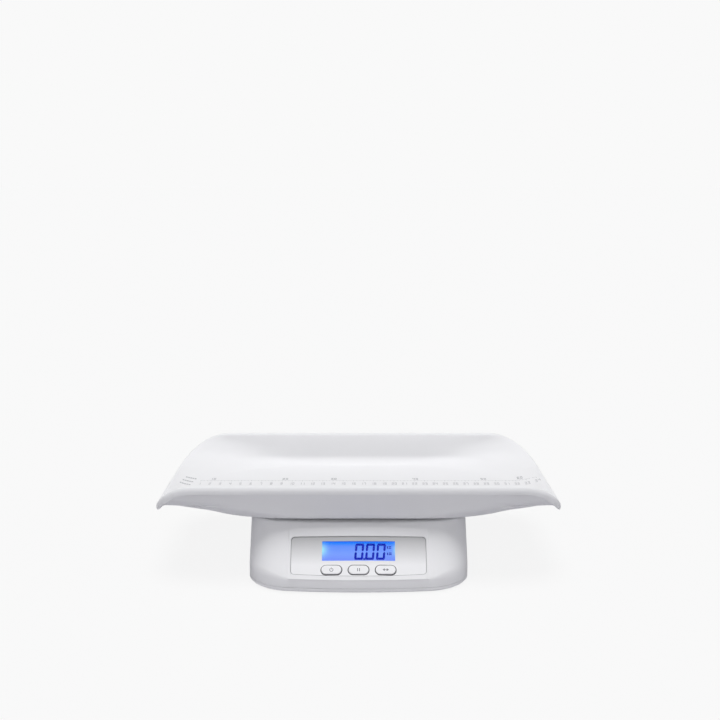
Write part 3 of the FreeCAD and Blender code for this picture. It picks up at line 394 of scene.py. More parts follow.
def tray_profile(inner, outer, station, side):
    """One section of the tray, from the floor's edge over the lip to the underside's edge."""
    roll = TRAY["inner_roll"]

    def reaches_rim(climb):
        here, distance, outward, slope = wall_at(inner, station, climb)
        spot = here[:2] + outward * distance
        return here[2] + roll * (1 - math.cos(slope)) - rim_height(spot[0], spot[1] * side)

    stop = search(reaches_rim, 0.02, 1.99)
    here, distance, outward, slope = wall_at(inner, station, stop)
    edge = here[:2] + outward * distance
    rim_z = rim_height(edge[0], edge[1] * side)
    shift = TRAY["crest_inset"] + roll * math.sin(slope) - distance
    rows = []
    for share in np.linspace(0, 1, WALL_ROWS):
        spot = inner.point(station, stop * share)
        rows.append(spot - np.array([*outward, 0]) * shift * smooth_step(0.4, 1, share))

    def on_section(inset, z):
        return np.array([*(edge - outward * inset), z])

    for share in np.linspace(0, 1, CREST_ROWS + 1)[1:]:
        angle = slope * (1 - share)
        inset = TRAY["crest_inset"] + roll * math.sin(angle)
        rows.append(on_section(inset, rim_z - roll * (1 - math.cos(angle))))
    flange = (TRAY["flange"] + TRAY["corner_drop"] * smooth_step(*TRAY["drop_from"], edge[0])
              - TRAY["end_lift"] * smooth_step(*TRAY["lift_from"], edge[0]))
    drop = min(TRAY["outer_roll"], flange - TRAY["least_flange"])
    for share in np.linspace(0, 1, FLANGE_ROWS + 1)[1:]:
        angle = math.pi / 2 * share
        inset = TRAY["crest_inset"] * (1 - math.sin(angle))
        rows.append(on_section(inset, rim_z - drop * (1 - math.cos(angle))))
    edge_round = TRAY["flange_edge"]
    low_z = rim_z - flange + edge_round
    for angle in np.linspace(0, math.pi / 2, EDGE_ROWS):
        rows.append(on_section(edge_round * (1 - math.cos(angle)), low_z - edge_round * math.sin(angle)))
    low_z -= edge_round
    ledge = edge_round + TRAY["ledge"]

    def above_ledge(climb):
        return outer.point(station, climb)[2] - low_z

    def past_slot(climb):
        spot = outer.point(station, climb)
        return TRAY["slot"] - from_rim(spot[0], spot[1])[0]

    low_climb = search(above_ledge, 0.0, 1.99)
    low_spot = outer.point(station, low_climb)
    gap = from_rim(low_spot[0], low_spot[1])[0]
    meet = search(past_slot, 0.02, 1.99)
    slotted = smooth_step(*TRAY["slot_from"], gap)
    wide = smooth_step(*TRAY["fill_from"], gap)
    way_out = np.array([*outward, 0])
    for share in np.linspace(0, 1, UNDER_ROWS):
        down = smooth_step(0.3 * (1 - wide), 1 - 0.4 * wide, share)
        filled = outer.point(station, low_climb * (1 - share)) + way_out * (gap - ledge) * (1 - down)
        if share < 0.1:
            meet_z = outer.point(station, meet)[2]
            hung = on_section(TRAY["slot"], low_z + (meet_z - low_z) * share * 10)
        else:
            hung = outer.point(station, meet * (1 - share) / 0.9)
        rows.append(filled * (1 - slotted) + hung * slotted)
    return rows


def quarters_to_loop(front, back):
    """Mirror a front and a back quarter to make the sections all the way round."""
    right_back = [row * np.array([1, -1, 1]) for row in back[-2::-1]]
    left_back = [row * np.array([-1, -1, 1]) for row in back[1:]]
    left_front = [row * np.array([-1, 1, 1]) for row in front[-2:0:-1]]
    return front + right_back + left_back + left_front


def soften_walls(sections, inner_rounds=130, under_rounds=50, row_fall=0.15):
    """Even out the corner blends along the walls inside and outside the tray, leaving the rim."""
    inner_share = [1 - smooth_step(WALL_ROWS - 11, WALL_ROWS - 1, row) for row in range(WALL_ROWS)]
    under_share = [smooth_step(-0.6, 3.4, row) for row in range(UNDER_ROWS)]
    for first, shares, rounds in ((0, inner_share, inner_rounds), (UNDER_START, under_share, under_rounds)):
        final = first + len(shares)
        for _ in range(rounds):
            walls = sections[:, first:final]
            middle = (np.roll(walls, 1, axis=0) + np.roll(walls, -1, axis=0)) / 2
            walls = walls + (middle - walls) * np.array(shares)[None, :, None]
            if first == 0:
                below_lip = walls[:, -1:, 2] - row_fall * np.arange(final - 1, -1, -1)[None, :]
                walls[:, :, 2] = np.minimum(walls[:, :, 2], below_lip)
            sections[:, first:final] = walls
    return sections


def loop_faces(loops, width, closed_ends=True):
    """Quads between neighbouring sections of a closed loop, and a flat face at each end."""
    faces = []
    for index in range(loops):
        following = (index + 1) % loops
        for row in range(width - 1):
            faces.append((index * width + row, following * width + row,
                          following * width + row + 1, index * width + row + 1))
    if closed_ends:
        faces.append([index * width for index in reversed(range(loops))])
        faces.append([index * width + width - 1 for index in range(loops)])
    return faces


def keep_wall(sections, above=300):
    """Lower the underside wherever it comes nearer to the inside than a thin wall."""
    rows = WALL_ROWS + CREST_ROWS + 1
    inside = [Vector(point) for section in sections for point in section[:rows]]
    skin = BVHTree.FromPolygons(inside, loop_faces(len(sections), rows, closed_ends=False))
    for section in sections:
        for point in section[UNDER_START:]:
            hit = skin.ray_cast(Vector((point[0], point[1], above)), Vector((0, 0, -1)))[0]
            if hit is not None:
                point[2] = min(point[2], hit.z - TRAY["thin_wall"])
    return sections


def add_peg(points, faces, centre, sides=32):
    """Add an upright closed rod with chamfered ends to a list of points and faces."""
    radius, low, high, chamfer = PEG["radius"], PEG["low"], PEG["high"], PEG["chamfer"]
    rings = [(radius - chamfer, low), (radius, low + chamfer),
             (radius, high - chamfer), (radius - chamfer, high)]
    start = len(points)
    for ring, z in rings:
        for step in range(sides):
            turn = 2 * math.pi * step / sides
            points.append((centre[0] + ring * math.cos(turn), centre[1] + ring * math.sin(turn), z))
    last = len(rings) - 1
    for first in range(start, start + last * sides, sides):
        for step in range(sides):
            after = (step + 1) % sides
            faces.append((first + step, first + after, first + sides + after, first + sides + step))
    faces.append([start + step for step in reversed(range(sides))])
    faces.append([start + last * sides + step for step in range(sides)])


def make_tray():
    """The cradle with its four pegs, in millimetres until the last step."""
    inner, outer = Pan(0), Pan(TRAY["wall"])
    front, back = [
        [np.array(tray_profile(inner, outer, station, side)) for station in range(len(pan_stations()))]
        for side in (1, -1)
    ]
    sections = keep_wall(soften_walls(np.array(quarters_to_loop(front, back))))
    width = len(sections[0])
    points = [tuple(row + np.array([0, TRAY["centre_y"], 0])) for section in sections for row in section]
    faces = [list(reversed(face)) for face in loop_faces(len(sections), width)]
    for place in SEATS:
        add_peg(points, faces, place)
    points = [Vector(point) * MM for point in points]
    piece = new_piece("tray_pan", points, faces, shell_white, "tray", 50)
    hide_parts("tray")
    return piece


tray = make_tray()

# ---------------------------------------------------------------- measuring rule
# A faint grey rule printed on the tray floor along its front: a line, numbered marks and short ticks.
# The marks are a film of ink a few hundredths of a millimetre thick, laid on the moulding.

RULE = {"pitch": 15, "first": -233, "count": 34, "line_y": 54.7, "line": 0.5, "tick": 4.2, "short_tick": 2.31,
        "number_y": 38.6, "number": (3.0, 11.0), "stroke": (0.75, 1.7), "gap": 1.3, "film": 0.04}
LARGE = {"places": (-216, -109, -37, 84, 185, 239), "rise": 8.4, "number": (3.4, 9.0), "stroke": (1.1, 2.2),
         "stem": (0.35, 2.4), "stem_half": 0.3}
# Rows of bars beside the rule: the middle, the left end and the right end of each.
BAR_ROWS = ((32, -261, -245), (45, -259, -243), (58, -256, -240))
ROW_BARS = {"count": 5, "gap": 0.6, "length": 4}


def printed_ink(name, low, high, rough=0.5, scale=900):
    """Printed ink: a little uneven in strength, matt."""
    material, tree, shader = new_material(name)
    place = tree.nodes.new("ShaderNodeTexCoord")
    noise = tree.nodes.new("ShaderNodeTexNoise")
    noise.inputs["Scale"].default_value = scale
    tree.links.new(place.outputs["Object"], noise.inputs["Vector"])
    colour = mix_colours(tree, noise.outputs["Fac"], (*low, 1), (*high, 1))
    tree.links.new(colour, shader.inputs["Base Color"])
    shader.inputs["Roughness"].default_value = rough
    return material


rule_ink = printed_ink("rule_ink", (0.42, 0.42, 0.44), (0.50, 0.50, 0.52))


def surface_of(piece):
    """A piece's surface, for casting rays at."""
    mesh = piece.data
    return BVHTree.FromPolygons([v.co for v in mesh.vertices], [tuple(p.vertices) for p in mesh.polygons])


def add_film(points, faces, under, over):
    """Add a closed film between a lower and an upper outline, both anticlockwise."""
    start, count = len(points), len(under)
    points += under + over
    faces.append([start + index for index in reversed(range(count))])
    faces.append([start + count + index for index in range(count)])
    for index in range(count):
        after = (index + 1) % count
        faces.append([start + index, start + after, start + count + after, start + count + index])


def bar(x0, y0, x1, y1):
    """The outline of an oblong in metres, from its sides in millimetres."""
    return [(x0 * MM, y0 * MM), (x1 * MM, y0 * MM), (x1 * MM, y1 * MM), (x0 * MM, y1 * MM)]


SEGMENTS = {"0": "abcdef", "1": "bc", "2": "abged", "3": "abgcd", "4": "fgbc", "5": "afgcd", "6": "afgedc",
            "7": "abc", "8": "abcdefg", "9": "abfgcd"}


def number_bars(text, x, y, size, stroke):
    """Tall plain numerals made of bars, centred on a place; size and stroke are (across, along)."""
    width, height = size
    across, along = stroke
    pitch = width + RULE["gap"]
    left = x - (len(text) * pitch - RULE["gap"]) / 2
    low, middle, top = y - height / 2, y, y + height / 2
    bars = []
    for index, letter in enumerate(text):
        x0 = left + index * pitch
        x1 = x0 + width
        places = {
            "a": (x0, top - along, x1, top), "g": (x0, middle - along / 2, x1, middle + along / 2),
            "d": (x0, low, x1, low + along), "f": (x0, middle, x0 + across, top),
            "b": (x1 - across, middle, x1, top), "e": (x0, low, x0 + across, middle),
            "c": (x1 - across, low, x1, middle),
        }
        bars += [bar(*places[name]) for name in SEGMENTS[letter]]
    return bars


def new_shape_tree(name, wanted):
    """A geometry tree with more inputs: the tree, its two ends and the inputs' identifiers."""
    tree = bpy.data.node_groups.new(name, "GeometryNodeTree")
    sockets = {}
    for label, kind in (("Geometry", "Geometry"), *wanted):
        socket = tree.interface.new_socket(label, in_out="INPUT", socket_type="NodeSocket" + kind)
        sockets[label] = socket.identifier
    tree.interface.new_socket("Geometry", in_out="OUTPUT", socket_type="NodeSocketGeometry")
    return tree, tree.nodes.new("NodeGroupInput"), tree.nodes.new("NodeGroupOutput"), sockets


def printed_row_tree():
    """A row of equal printed bars: how many, how far apart, where the first one is and its size."""
    wanted = (("Count", "Int"), ("Pitch", "Float"), ("First", "Vector"),
              ("Width", "Float"), ("Length", "Float"), ("Ink", "Material"))
    tree, given, result, sockets = new_shape_tree("PrintedRow", wanted)
    step = tree.nodes.new("ShaderNodeCombineXYZ")
    line = tree.nodes.new("GeometryNodeMeshLine")
    mark = tree.nodes.new("GeometryNodeMeshGrid")
    place = tree.nodes.new("GeometryNodeInstanceOnPoints")
    real = tree.nodes.new("GeometryNodeRealizeInstances")
    inked = tree.nodes.new("GeometryNodeSetMaterial")
    give(mark, ("Vertices X", 2), ("Vertices Y", 2))
    wire(tree, (given, "Pitch", step, "X"), (given, "Count", line, "Count"),
         (given, "First", line, "Start Location"), (step, "Vector", line, "Offset"),
         (given, "Width", mark, "Size X"), (given, "Length", mark, "Size Y"),
         (line, "Mesh", place, "Points"), (mark, "Mesh", place, "Instance"),
         (place, "Instances", real, "Geometry"), (real, "Geometry", inked, "Geometry"),
         (given, "Ink", inked, "Material"), (inked, "Geometry", result, "Geometry"))
    return tree, sockets


printed_row, row_sockets = printed_row_tree()


def printed_bars(count, pitch, first_x, middle_y, width, length):
    """The outlines of a row of bars, made by the tree, in metres."""
    holder = add_object("row_maker", bpy.data.meshes.new("row_maker"))
    row = holder.modifiers.new("printed_row", "NODES")
    row.node_group = printed_row
    for name, value in (("Count", count), ("Pitch", pitch * MM), ("First", (first_x * MM, middle_y * MM, 0)),
                        ("Width", width * MM), ("Length", length * MM), ("Ink", rule_ink)):
        row[row_sockets[name]] = value
    made = bpy.data.meshes.new_from_object(holder.evaluated_get(bpy.context.evaluated_depsgraph_get()))
    outlines = [[tuple(made.vertices[index].co)[:2] for index in face.vertices] for face in made.polygons]
    holder.modifiers.clear()
    bpy.data.objects.remove(holder)
    return outlines


def rule_outlines():
    """Every mark of the rule: ticks, line, small numbers, large numbers with a stem, rows of bars."""
    first, pitch, count = RULE["first"], RULE["pitch"], RULE["count"]
    line_y, line, tick, short = RULE["line_y"], RULE["line"], RULE["tick"], RULE["short_tick"]
    shapes = printed_bars(count, pitch, first, line_y - tick / 2, 0.7, tick)
    for third in (1, 2):
        shapes += printed_bars(count - 1, pitch, first + pitch * third / 3, line_y - short / 2, line, short)
    shapes += printed_bars((count - 1) * 3, pitch / 3, first + pitch / 6, line_y + line / 2, pitch / 3, line)
    for index in range(count):
        x = first + index * pitch
        shapes += number_bars(str(index + 1), x, RULE["number_y"], RULE["number"], RULE["stroke"])
    for index, x in enumerate(LARGE["places"]):
        shapes += number_bars(f"{index + 1}0", x, line_y + LARGE["rise"], LARGE["number"], LARGE["stroke"])
        half, (low, high) = LARGE["stem_half"], LARGE["stem"]
        shapes.append(bar(x - half, line_y + low, x + half, line_y + high))
    for middle, left, right in BAR_ROWS:
        pitch = (right - left) / ROW_BARS["count"]
        width = pitch - ROW_BARS["gap"]
        shapes += printed_bars(ROW_BARS["count"], pitch, left + pitch / 2, middle, width, ROW_BARS["length"])
    return shapes


def make_rule(above=0.2):
    """Lay the marks on the tray: each corner drops to the floor, and the film starts just inside it."""
    moulding = surface_of(tray)
    film = Vector((0, 0, RULE["film"] * MM))
    points, faces = [], []
    for outline in rule_outlines():
        laid = [moulding.ray_cast(Vector((x, y, above)), Vector((0, 0, -1)))[0] for x, y in outline]
        add_film(points, faces, [place - film for place in laid], [place + film for place in laid])
    new_piece("rule_print", points, faces, rule_ink, "tray", 30)


make_rule()

# ---------------------------------------------------------------- base shells
# The base is two mouldings of the same white plastic, parted by a thin line above the table.
# Five screws from below hold them together.


def smooth_skin_tree():
    """Joins a moulding's facets and shades it smooth, keeping edges sharper than an angle."""
    tree, given, result, sockets = new_shape_tree("SmoothSkin", (("Edge Angle", "Float"),))
    merge = tree.nodes.new("GeometryNodeMergeByDistance")
    merge.inputs["Distance"].default_value = 2e-6
    faces = tree.nodes.new("GeometryNodeSetShadeSmooth")
    edges = tree.nodes.new("GeometryNodeSetShadeSmooth")
    edges.domain = "EDGE"
    edges.inputs["Shade Smooth"].default_value = False
    measure = tree.nodes.new("GeometryNodeInputMeshEdgeAngle")
    compare = tree.nodes.new("FunctionNodeCompare")
    compare.operation = "GREATER_THAN"
    wire(tree, (given, "Geometry", merge, "Geometry"), (merge, "Geometry", faces, "Geometry"),
         (faces, "Geometry", edges, "Geometry"), (measure, "Unsigned Angle", compare, "A"),
         (given, "Edge Angle", compare, "B"), (compare, "Result", edges, "Selection"),
         (edges, "Geometry", result, "Geometry"))
    return tree, sockets["Edge Angle"]


smooth_skin, skin_angle = smooth_skin_tree()


def finish_node(name, material, angle=28):
    """Give a moulded node its material and a smooth skin."""
    node = nodes[name]
    node.data.materials.clear()
    node.data.materials.append(material)
    skin = node.modifiers.new("smooth_skin", "NODES")
    skin.node_group = smooth_skin
    skin[skin_angle] = math.radians(angle)


finish_node("upper_case", shell_white)
finish_node("lower_case", shell_white)

# ---------------------------------------------------------------- fascia panel
# A thin silver-grey plate set into the console, with openings for the display and the buttons.
# It is painted: fine metallic flakes in a satin lacquer. Its colour also holds painted shade, darker towards
# the top under the tray.


def silver_paint():
    """Satin silver with painted shade: darker towards the top edge of the plate, where the tray above shades
    it.
    """
    material = plastic("fascia_silver", (0.79, 0.79, 0.805), (0.82, 0.82, 0.835), (0.42, 0.52),
                       bump=0.03, grain=5200, drift=30, gloss=0.5)
    tree = material.node_tree
    shader = tree.nodes["Principled BSDF"]
    shader.inputs["Metallic"].default_value = 0.04
    # Painted shade and painted dark reflection of the tray: the colour darkens with height up the plate.
    shade = tree.nodes.new("ShaderNodeMapRange")
    give(shade, ("From Min", 0.035), ("From Max", 0.0675), ("To Min", 1.0), ("To Max", 0.55))
    painted = shader.inputs["Base Color"].links[0].from_socket
    tree.links.new(object_axes(tree)["Z"], shade.inputs["Value"])
    painted_shade_colour = mix_colours(tree, 1, painted, shade.outputs["Result"], "MULTIPLY")
    tree.links.new(painted_shade_colour, shader.inputs["Base Color"])
    return material


finish_node("fascia_panel", silver_paint())

# ---------------------------------------------------------------- display
# A backlit liquid crystal display: a clear moulded cover over lit blue glass, with dark digits
# and two small unit marks. The light comes in from the two ends.

CONSOLE_TILT = math.radians(53)
CONSOLE_FOOT = Vector((0, -164.5, 20))
UP_SLOPE = Vector((0, math.cos(CONSOLE_TILT), math.sin(CONSOLE_TILT)))
OUTWARD = Vector((0, -math.sin(CONSOLE_TILT), math.cos(CONSOLE_TILT)))


def on_console(x, up, out):
    """A place on the console in metres, from millimetres across, up the slope and out of it."""
    return (CONSOLE_FOOT + Vector((x, 0, 0)) + UP_SLOPE * up + OUTWARD * out) * MM


def flat_film(name, outlines, out, thick, material, body):
    """Closed thin films with the given outlines, standing on a level of the console."""
    points, faces = [], []
    for outline in outlines:
        add_film(points, faces, [on_console(x, up, out) for x, up in outline],
                 [on_console(x, up, out + thick) for x, up in outline])
    new_piece(name, points, faces, material, body, 30)


def clear_cover():
    """Clear moulded plastic, here and there a little less smooth."""
    material, tree, shader = new_material("window_clear")
    give(shader, ("Base Color", (0.97, 0.98, 1, 1)), ("Transmission Weight", 1), ("IOR", 1.12))
    place = tree.nodes.new("ShaderNodeTexCoord")
    noise = tree.nodes.new("ShaderNodeTexNoise")
    noise.inputs["Scale"].default_value = 60
    spread = tree.nodes.new("ShaderNodeMapRange")
    give(spread, ("To Min", 0.0), ("To Max", 0.008))
    wire(tree, (place, "Object", noise, "Vector"), (noise, "Fac", spread, "Value"),
         (spread, "Result", shader, "Roughness"))
    return material


# The lit field in millimetres on the console, its blues from the low edge to the top, and for each
# end's glow its side, its spread and its strength.
LIT = {"low": 22, "high": 50, "end": 48.5, "glow_up": 37.5, "glow_height": 7.5}
BLUES = ((0.0, (0.18, 0.28, 1.0)), (0.35, (0.20, 0.36, 1.0)), (0.72, (0.13, 0.30, 1.0)),
         (0.87, (0.02, 0.24, 1.0)), (1.0, (0.0, 0.10, 1.0)))
END_GLOWS = ((-1, 6.5, 0.85), (1, 3.2, 0.55))


def lit_glass():
    """Blue light, deeper along the top edge, with a pale glow at each end."""
    material, tree, shader = new_material("lcd_lit")
    axes = object_axes(tree)
    x_mm = add_math(tree, "MULTIPLY", axes["X"], 1000)
    height = add_math(tree, "SUBTRACT", axes["Z"], CONSOLE_FOOT.z * MM)
    up_mm = add_math(tree, "MULTIPLY", height, 1000 / UP_SLOPE.z)
    ramp = tree.nodes.new("ShaderNodeValToRGB")
    ramp.color_ramp.elements[0].color = (*BLUES[0][1], 1)
    ramp.color_ramp.elements[1].color = (*BLUES[-1][1], 1)
    for position, blue in BLUES[1:-1]:
        ramp.color_ramp.elements.new(position).color = (*blue, 1)
    level = tree.nodes.new("ShaderNodeMapRange")
    give(level, ("From Min", LIT["low"]), ("From Max", LIT["high"]))
    tree.links.new(up_mm, level.inputs["Value"])
    tree.links.new(level.outputs["Result"], ramp.inputs["Fac"])
    colour = ramp.outputs["Color"]
    for side, spread, strength in END_GLOWS:
        across = add_math(tree, "DIVIDE", add_math(tree, "SUBTRACT", x_mm, side * LIT["end"]), spread)
        above = add_math(tree, "SUBTRACT", up_mm, LIT["glow_up"])
        along = add_math(tree, "DIVIDE", above, LIT["glow_height"])
        square = add_math(tree, "ADD", add_math(tree, "POWER", add_math(tree, "ABSOLUTE", across), 2),
                          add_math(tree, "POWER", add_math(tree, "ABSOLUTE", along), 2))
        fade = add_math(tree, "EXPONENT", add_math(tree, "MULTIPLY", square, -1))
        glow = add_math(tree, "MULTIPLY", fade, strength)
        colour = mix_colours(tree, glow, colour, (0.42, 0.95, 1, 1))
    tree.links.new(colour, shader.inputs["Emission Color"])
    give(shader, ("Emission Strength", 0.93), ("Base Color", (0.01, 0.015, 0.05, 1)), ("Roughness", 0.4),
         ("Specular IOR Level", 0.05))
    return material


finish_node("display_window", clear_cover())
finish_node("lcd_glass", lit_glass())

digit_ink = printed_ink("digit_navy", (0.004, 0.010, 0.16), (0.010, 0.02, 0.24), 0.4, 300)
digit_shader = digit_ink.node_tree.nodes["Principled BSDF"]
give(digit_shader, ("Emission Color", (0.0, 0.008, 0.30, 1)), ("Emission Strength", 0.8),
     ("Specular IOR Level", 0.05))

# Sizes in millimetres across and up the console; the glass lies 5.44 mm below its surface.
GLASS_OUT = -5.44
DIGIT = {"middles": (0.9, 15.2, 29.4), "low": 28.5, "width": 11.8, "height": 22.0,
         "lean": 0.085, "thick": 3.0, "gap": 0.35}
POINT = [(6.1, 28.4), (8.6, 28.4), (8.8, 31.0), (6.3, 31.0)]
UNIT_MARKS = {"left": 37.4, "rows": ((43.6, 5.2), (34.8, 6.0))}


def digit_outlines(left, low, lit):
    """Slanted seven-segment digit with mitred ends; the dark segments are named."""
    width, height, lean, thick, gap = [DIGIT[name] for name in ("width", "height", "lean", "thick", "gap")]
    half = height / 2
    inner = width - 2 * thick

    def slant(x, y):
        return (left + x + (y - half) * lean, low + y)

    def upright(x, y0, y1):
        cutoff = thick / 2
        return [(x, y0 + cutoff), (x + thick / 2, y0), (x + thick, y0 + cutoff),
                (x + thick, y1 - cutoff), (x + thick / 2, y1), (x, y1 - cutoff)]

    segments = {
        "f": upright(0, half + gap, height - gap), "e": upright(0, gap, half - gap),
        "b": upright(width - thick, half + gap, height - gap), "c": upright(width - thick, gap, half - gap),
        "a": [(gap, height), (width - gap, height), (width - thick - gap, height - thick),
              (thick + gap, height - thick)],
        "d": [(thick + gap, thick), (width - thick - gap, thick), (width - gap, 0), (gap, 0)],
        "g": [(thick / 2 + gap, half), (thick + gap, half + thick / 2),
              (thick + inner - gap, half + thick / 2), (width - thick / 2 - gap, half),
              (thick + inner - gap, half - thick / 2), (thick + gap, half - thick / 2)],
    }
    return [[slant(x, y) for x, y in segments[name]] for name in lit]


def make_digits():
    """Three noughts with a point, and beside them two marks, each an upright and two short bars."""
    outlines = []
    for middle in DIGIT["middles"]:
        outlines += digit_outlines(middle - DIGIT["width"] / 2, DIGIT["low"], "abcdef")
    outlines.append(POINT)
    left = UNIT_MARKS["left"]
    for up, width in UNIT_MARKS["rows"]:
        end = left + width
        outlines.append([(left - 0.2, up), (left + 1.1, up), (left + 1.2, up + 3.4), (left - 0.1, up + 3.4)])
        outlines.append([(left + 2.0, up), (end, up), (end, up + 1.2), (left + 2.0, up + 1.2)])
        outlines.append([(left + 2.2, up + 2.1), (end, up + 2.1), (end, up + 3.3), (left + 2.2, up + 3.3)])
    flat_film("display_digits", outlines, GLASS_OUT, 0.02, digit_ink, "base")


make_digits()

FASCIA = {"half": 89, "low": 8.3, "high": 59.2, "corner": 5, "bow": 3.3}
# The seam's four edges: how far in from the fascia's edge, and how far over its face.
SEAM_RINGS = ((0.3, 0.01), (0.3, 0.04), (0.8, 0.04), (0.8, 0.01))


def fascia_edge(inset, turns=8, bow_points=39):
    """Points round the fascia, in from its edge: round corners, a bottom that bows down."""
    half, radius = FASCIA["half"] - inset, FASCIA["corner"] - inset
    low, high = FASCIA["low"] + inset, FASCIA["high"] - inset
    reach = half - radius
    points = []
    for x, up, start in ((1, high, 0), (-1, high, 90), (-1, low, 180), (1, low, 270)):
        centre_up = up - radius if up == high else up + radius
        for step in range(turns + 1):
            angle = math.radians(start + 90 * step / turns)
            points.append((x * reach + radius * math.cos(angle), centre_up + radius * math.sin(angle)))
        if start == 180:
            points += [(reach * share, low - FASCIA["bow"] * (1 - share ** 2))
                       for share in np.linspace(-0.95, 0.95, bow_points)]
    return points


def ring_faces(points, rings):
    """Quads that join closed rings of points, each to the next and the last to the first."""
    count = len(points) // rings
    faces = []
    for ring in range(rings):
        here, there = ring * count, (ring + 1) % rings * count
        for step in range(count):
            after = (step + 1) % count
            faces.append((here + step, here + after, there + after, there + step))
    return faces


def make_fascia_seam():
    """The seam where the fascia meets the case, its shaded gap painted as a dark line lying on the plate's
    own face.
    """
    plate = surface_of(nodes["fascia_panel"])
    points = []
    for inset, rise in SEAM_RINGS:
        for x, up in fascia_edge(inset):
            hit = plate.ray_cast(on_console(x, up, 6), -OUTWARD)[0]
            points.append(hit + OUTWARD * rise * MM)
    # Painted shade: the grey of this line stands in for the shade inside the seam's gap.
    seam_shade_grey = plastic("seam_shade_grey", (0.30, 0.30, 0.31), (0.36, 0.36, 0.37), (0.6, 0.7))
    new_piece("fascia_seam", points, ring_faces(points, len(SEAM_RINGS)), seam_shade_grey, "base")


make_fascia_seam()

# ---------------------------------------------------------------- buttons
# Three white stadium caps stand in the fascia, each ringed by a dark painted shadow of its gap. Each carries
# a small printed sign: a power ring, a pause pair and a pair of arrows.

button_white = plastic("button_white", (0.86, 0.86, 0.875), (0.88, 0.88, 0.895), (0.22, 0.32), bump=0.01)
# Painted shadow: this dark colour stands in for the shade in the gap round each button.
button_shadow_dark = plastic("button_shadow_dark", (0.055, 0.055, 0.06), (0.08, 0.08, 0.085), (0.5, 0.7), bump=0.05)
sign_ink = printed_ink("sign_ink", (0.16, 0.16, 0.18), (0.22, 0.22, 0.24))
BUTTONS = {"power": -35.3, "hold": 0.0, "unit": 35.3}
BUTTON_UP = 13.65
CAP_FACE = 0.8
PANEL = {"sink": 0.8, "bow": 1040.0}
# The painted shadow ring's four edges: length, width, and height over the fascia.
BUTTON_SHADOW_RINGS = ((28.5, 13.8, 0.02), (28.3, 13.6, 0.16), (26.5, 11.9, 0.16), (26.4, 11.8, -1.2))


def stadium(length, width, x, up, turns=14):
    """Points round a stadium, anticlockwise."""
    radius = width / 2
    spread = length / 2 - radius
    points = []
    for side, start in ((1, -math.pi / 2), (-1, math.pi / 2)):
        for step in range(turns + 1):
            angle = start + math.pi * step / turns
            points.append((x + side * spread + radius * math.cos(angle), up + radius * math.sin(angle)))
    return points


def panel_out(x):
    """How far out the fascia's bowed face lies."""
    return -PANEL["sink"] - x * x / (2 * PANEL["bow"])


def make_button_shadow(name, x):
    """Painted shadow: a dark ring that lies on the fascia round the cap and runs down beside it, where the
    gap is shaded.
    """
    points = []
    for length, width, rise in BUTTON_SHADOW_RINGS:
        for px, up in stadium(length, width, x, BUTTON_UP):
            points.append(on_console(px, up, panel_out(px) + rise))
    faces = ring_faces(points, len(BUTTON_SHADOW_RINGS))
    new_piece("button_shadow_" + name, points, faces, button_shadow_dark, "base")


def arc_band(x, up, radius, width, start, stop, steps=18):
    """The outline of a part of a ring, from one angle to another."""
    inner, outer = [], []
    for step in range(steps + 1):
        angle = math.radians(start + (stop - start) * step / steps)
        for side, reach in ((outer, radius + width / 2), (inner, radius - width / 2)):
            side.append((x + reach * math.cos(angle), up + reach * math.sin(angle)))
    return outer + inner[::-1]


def block_at(x, up, width, height):
    """The outline of an oblong round its middle."""
    return [(x - width / 2, up - height / 2), (x + width / 2, up - height / 2),
            (x + width / 2, up + height / 2), (x - width / 2, up + height / 2)]


def sign_outlines(name, x):
    """A ring with a bar, two bars, or two arrows with a bar between."""
    up = BUTTON_UP
    if name == "power":
        return [arc_band(x, up - 0.2, 2.2, 0.75, 120, 420), block_at(x, up + 1.5, 0.75, 2.6)]
    if name == "hold":
        return [block_at(x - 1.2, up, 1.0, 4.2), block_at(x + 1.2, up, 1.0, 4.2)]
    return [[(x - 4.2, up), (x - 1.2, up - 1.9), (x - 1.2, up + 1.9)],
            [(x + 4.2, up), (x + 1.2, up + 1.9), (x + 1.2, up - 1.9)],
            block_at(x, up, 2.6, 0.7)]


for key, x in BUTTONS.items():
    finish_node("button_" + key, button_white)
    make_button_shadow(key, x)
    flat_film("sign_" + key, sign_outlines(key, x), CAP_FACE, 0.03, sign_ink, "button_" + key)

# ---------------------------------------------------------------- inside and underside
# Four rubber feet on grey carriers press on steel load cells. The battery door is white plastic, and the
# cells, contacts and screws are metal. The board with its switches and its light lies under the console.

rubber_black = plastic("foot_rubber", (0.055, 0.055, 0.058), (0.075, 0.075, 0.078), (0.65, 0.85),
                       bump=0.12, grain=1400)
carrier_grey = plastic("carrier_grey", (0.40, 0.40, 0.42), (0.44, 0.44, 0.46), (0.4, 0.55))
chip_black = plastic("chip_black", (0.018, 0.018, 0.02), (0.028, 0.028, 0.03), (0.45, 0.6), bump=0.05)
plunger_grey = plastic("plunger_grey", (0.13, 0.13, 0.14), (0.17, 0.17, 0.18), (0.4, 0.5))
board_green = plastic("board_green", (0.02, 0.16, 0.06), (0.03, 0.20, 0.08), (0.22, 0.35),
                      grain=900, drift=120)
diffuser_white = plastic("backlight_blue", (0.30, 0.45, 0.92), (0.36, 0.52, 0.95), (0.3, 0.4))


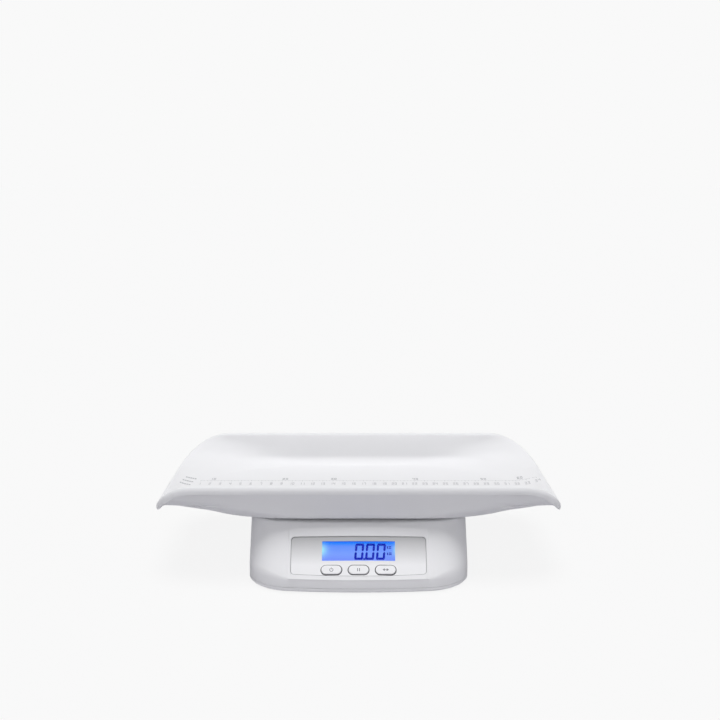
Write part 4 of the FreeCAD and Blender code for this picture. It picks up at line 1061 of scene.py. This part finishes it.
def metal(name, tint_a, tint_b, rough):
    """Drawn or rolled metal with fine streaks along its length."""
    material = plastic(name, tint_a, tint_b, rough, bump=0.06, grain=1500, drift=60, stretch=(0.06, 1, 1))
    material.node_tree.nodes["Principled BSDF"].inputs["Metallic"].default_value = 1
    return material


cell_steel = metal("cell_steel", (0.55, 0.55, 0.56), (0.62, 0.62, 0.63), (0.28, 0.42))
screw_steel = metal("screw_steel", (0.50, 0.50, 0.50), (0.58, 0.58, 0.57), (0.25, 0.4))
contact_nickel = metal("contact_nickel", (0.60, 0.58, 0.54), (0.66, 0.64, 0.60), (0.2, 0.34))

# Where a cell's band and its bare end start, in metres from its middle.
BAND_FROM, BARE_FROM = 0.0125, 0.0212


def battery_skin():
    """A plain printed can: a dark sleeve, a light band towards each end, bare metal ends."""
    material = plastic("battery_can", (0.05, 0.10, 0.16), (0.06, 0.12, 0.19), (0.25, 0.35), bump=0.01)
    tree = material.node_tree
    shader = tree.nodes["Principled BSDF"]
    far = add_math(tree, "ABSOLUTE", object_axes(tree)["X"])
    band = add_math(tree, "GREATER_THAN", far, BAND_FROM)
    bare = add_math(tree, "GREATER_THAN", far, BARE_FROM)
    colour = shader.inputs["Base Color"].links[0].from_socket
    for mask, tone in ((band, (0.62, 0.50, 0.22, 1)), (bare, (0.62, 0.62, 0.62, 1))):
        colour = mix_colours(tree, mask, colour, tone)
    tree.links.new(colour, shader.inputs["Base Color"])
    tree.links.new(bare, shader.inputs["Metallic"])
    return material


battery_can = battery_skin()
finishes = {
    "battery_door": shell_white, "controller_chip": chip_black, "main_board": board_green,
    "lcd_backlight": diffuser_white, "case_screws": screw_steel,
    "battery_contacts_left": contact_nickel, "battery_contacts_right": contact_nickel,
}
for corner in ("front_left", "front_right", "rear_left", "rear_right"):
    finishes["rubber_foot_" + corner] = rubber_black
    finishes["foot_carrier_" + corner] = carrier_grey
    finishes["load_cell_" + corner] = cell_steel
for key in BUTTONS:
    finishes["tact_switch_" + key] = chip_black
    finishes["switch_plunger_" + key] = plunger_grey
for number in range(1, 5):
    finishes[f"aaa_cell_{number}"] = battery_can
for name, material in finishes.items():
    finish_node(name, material)
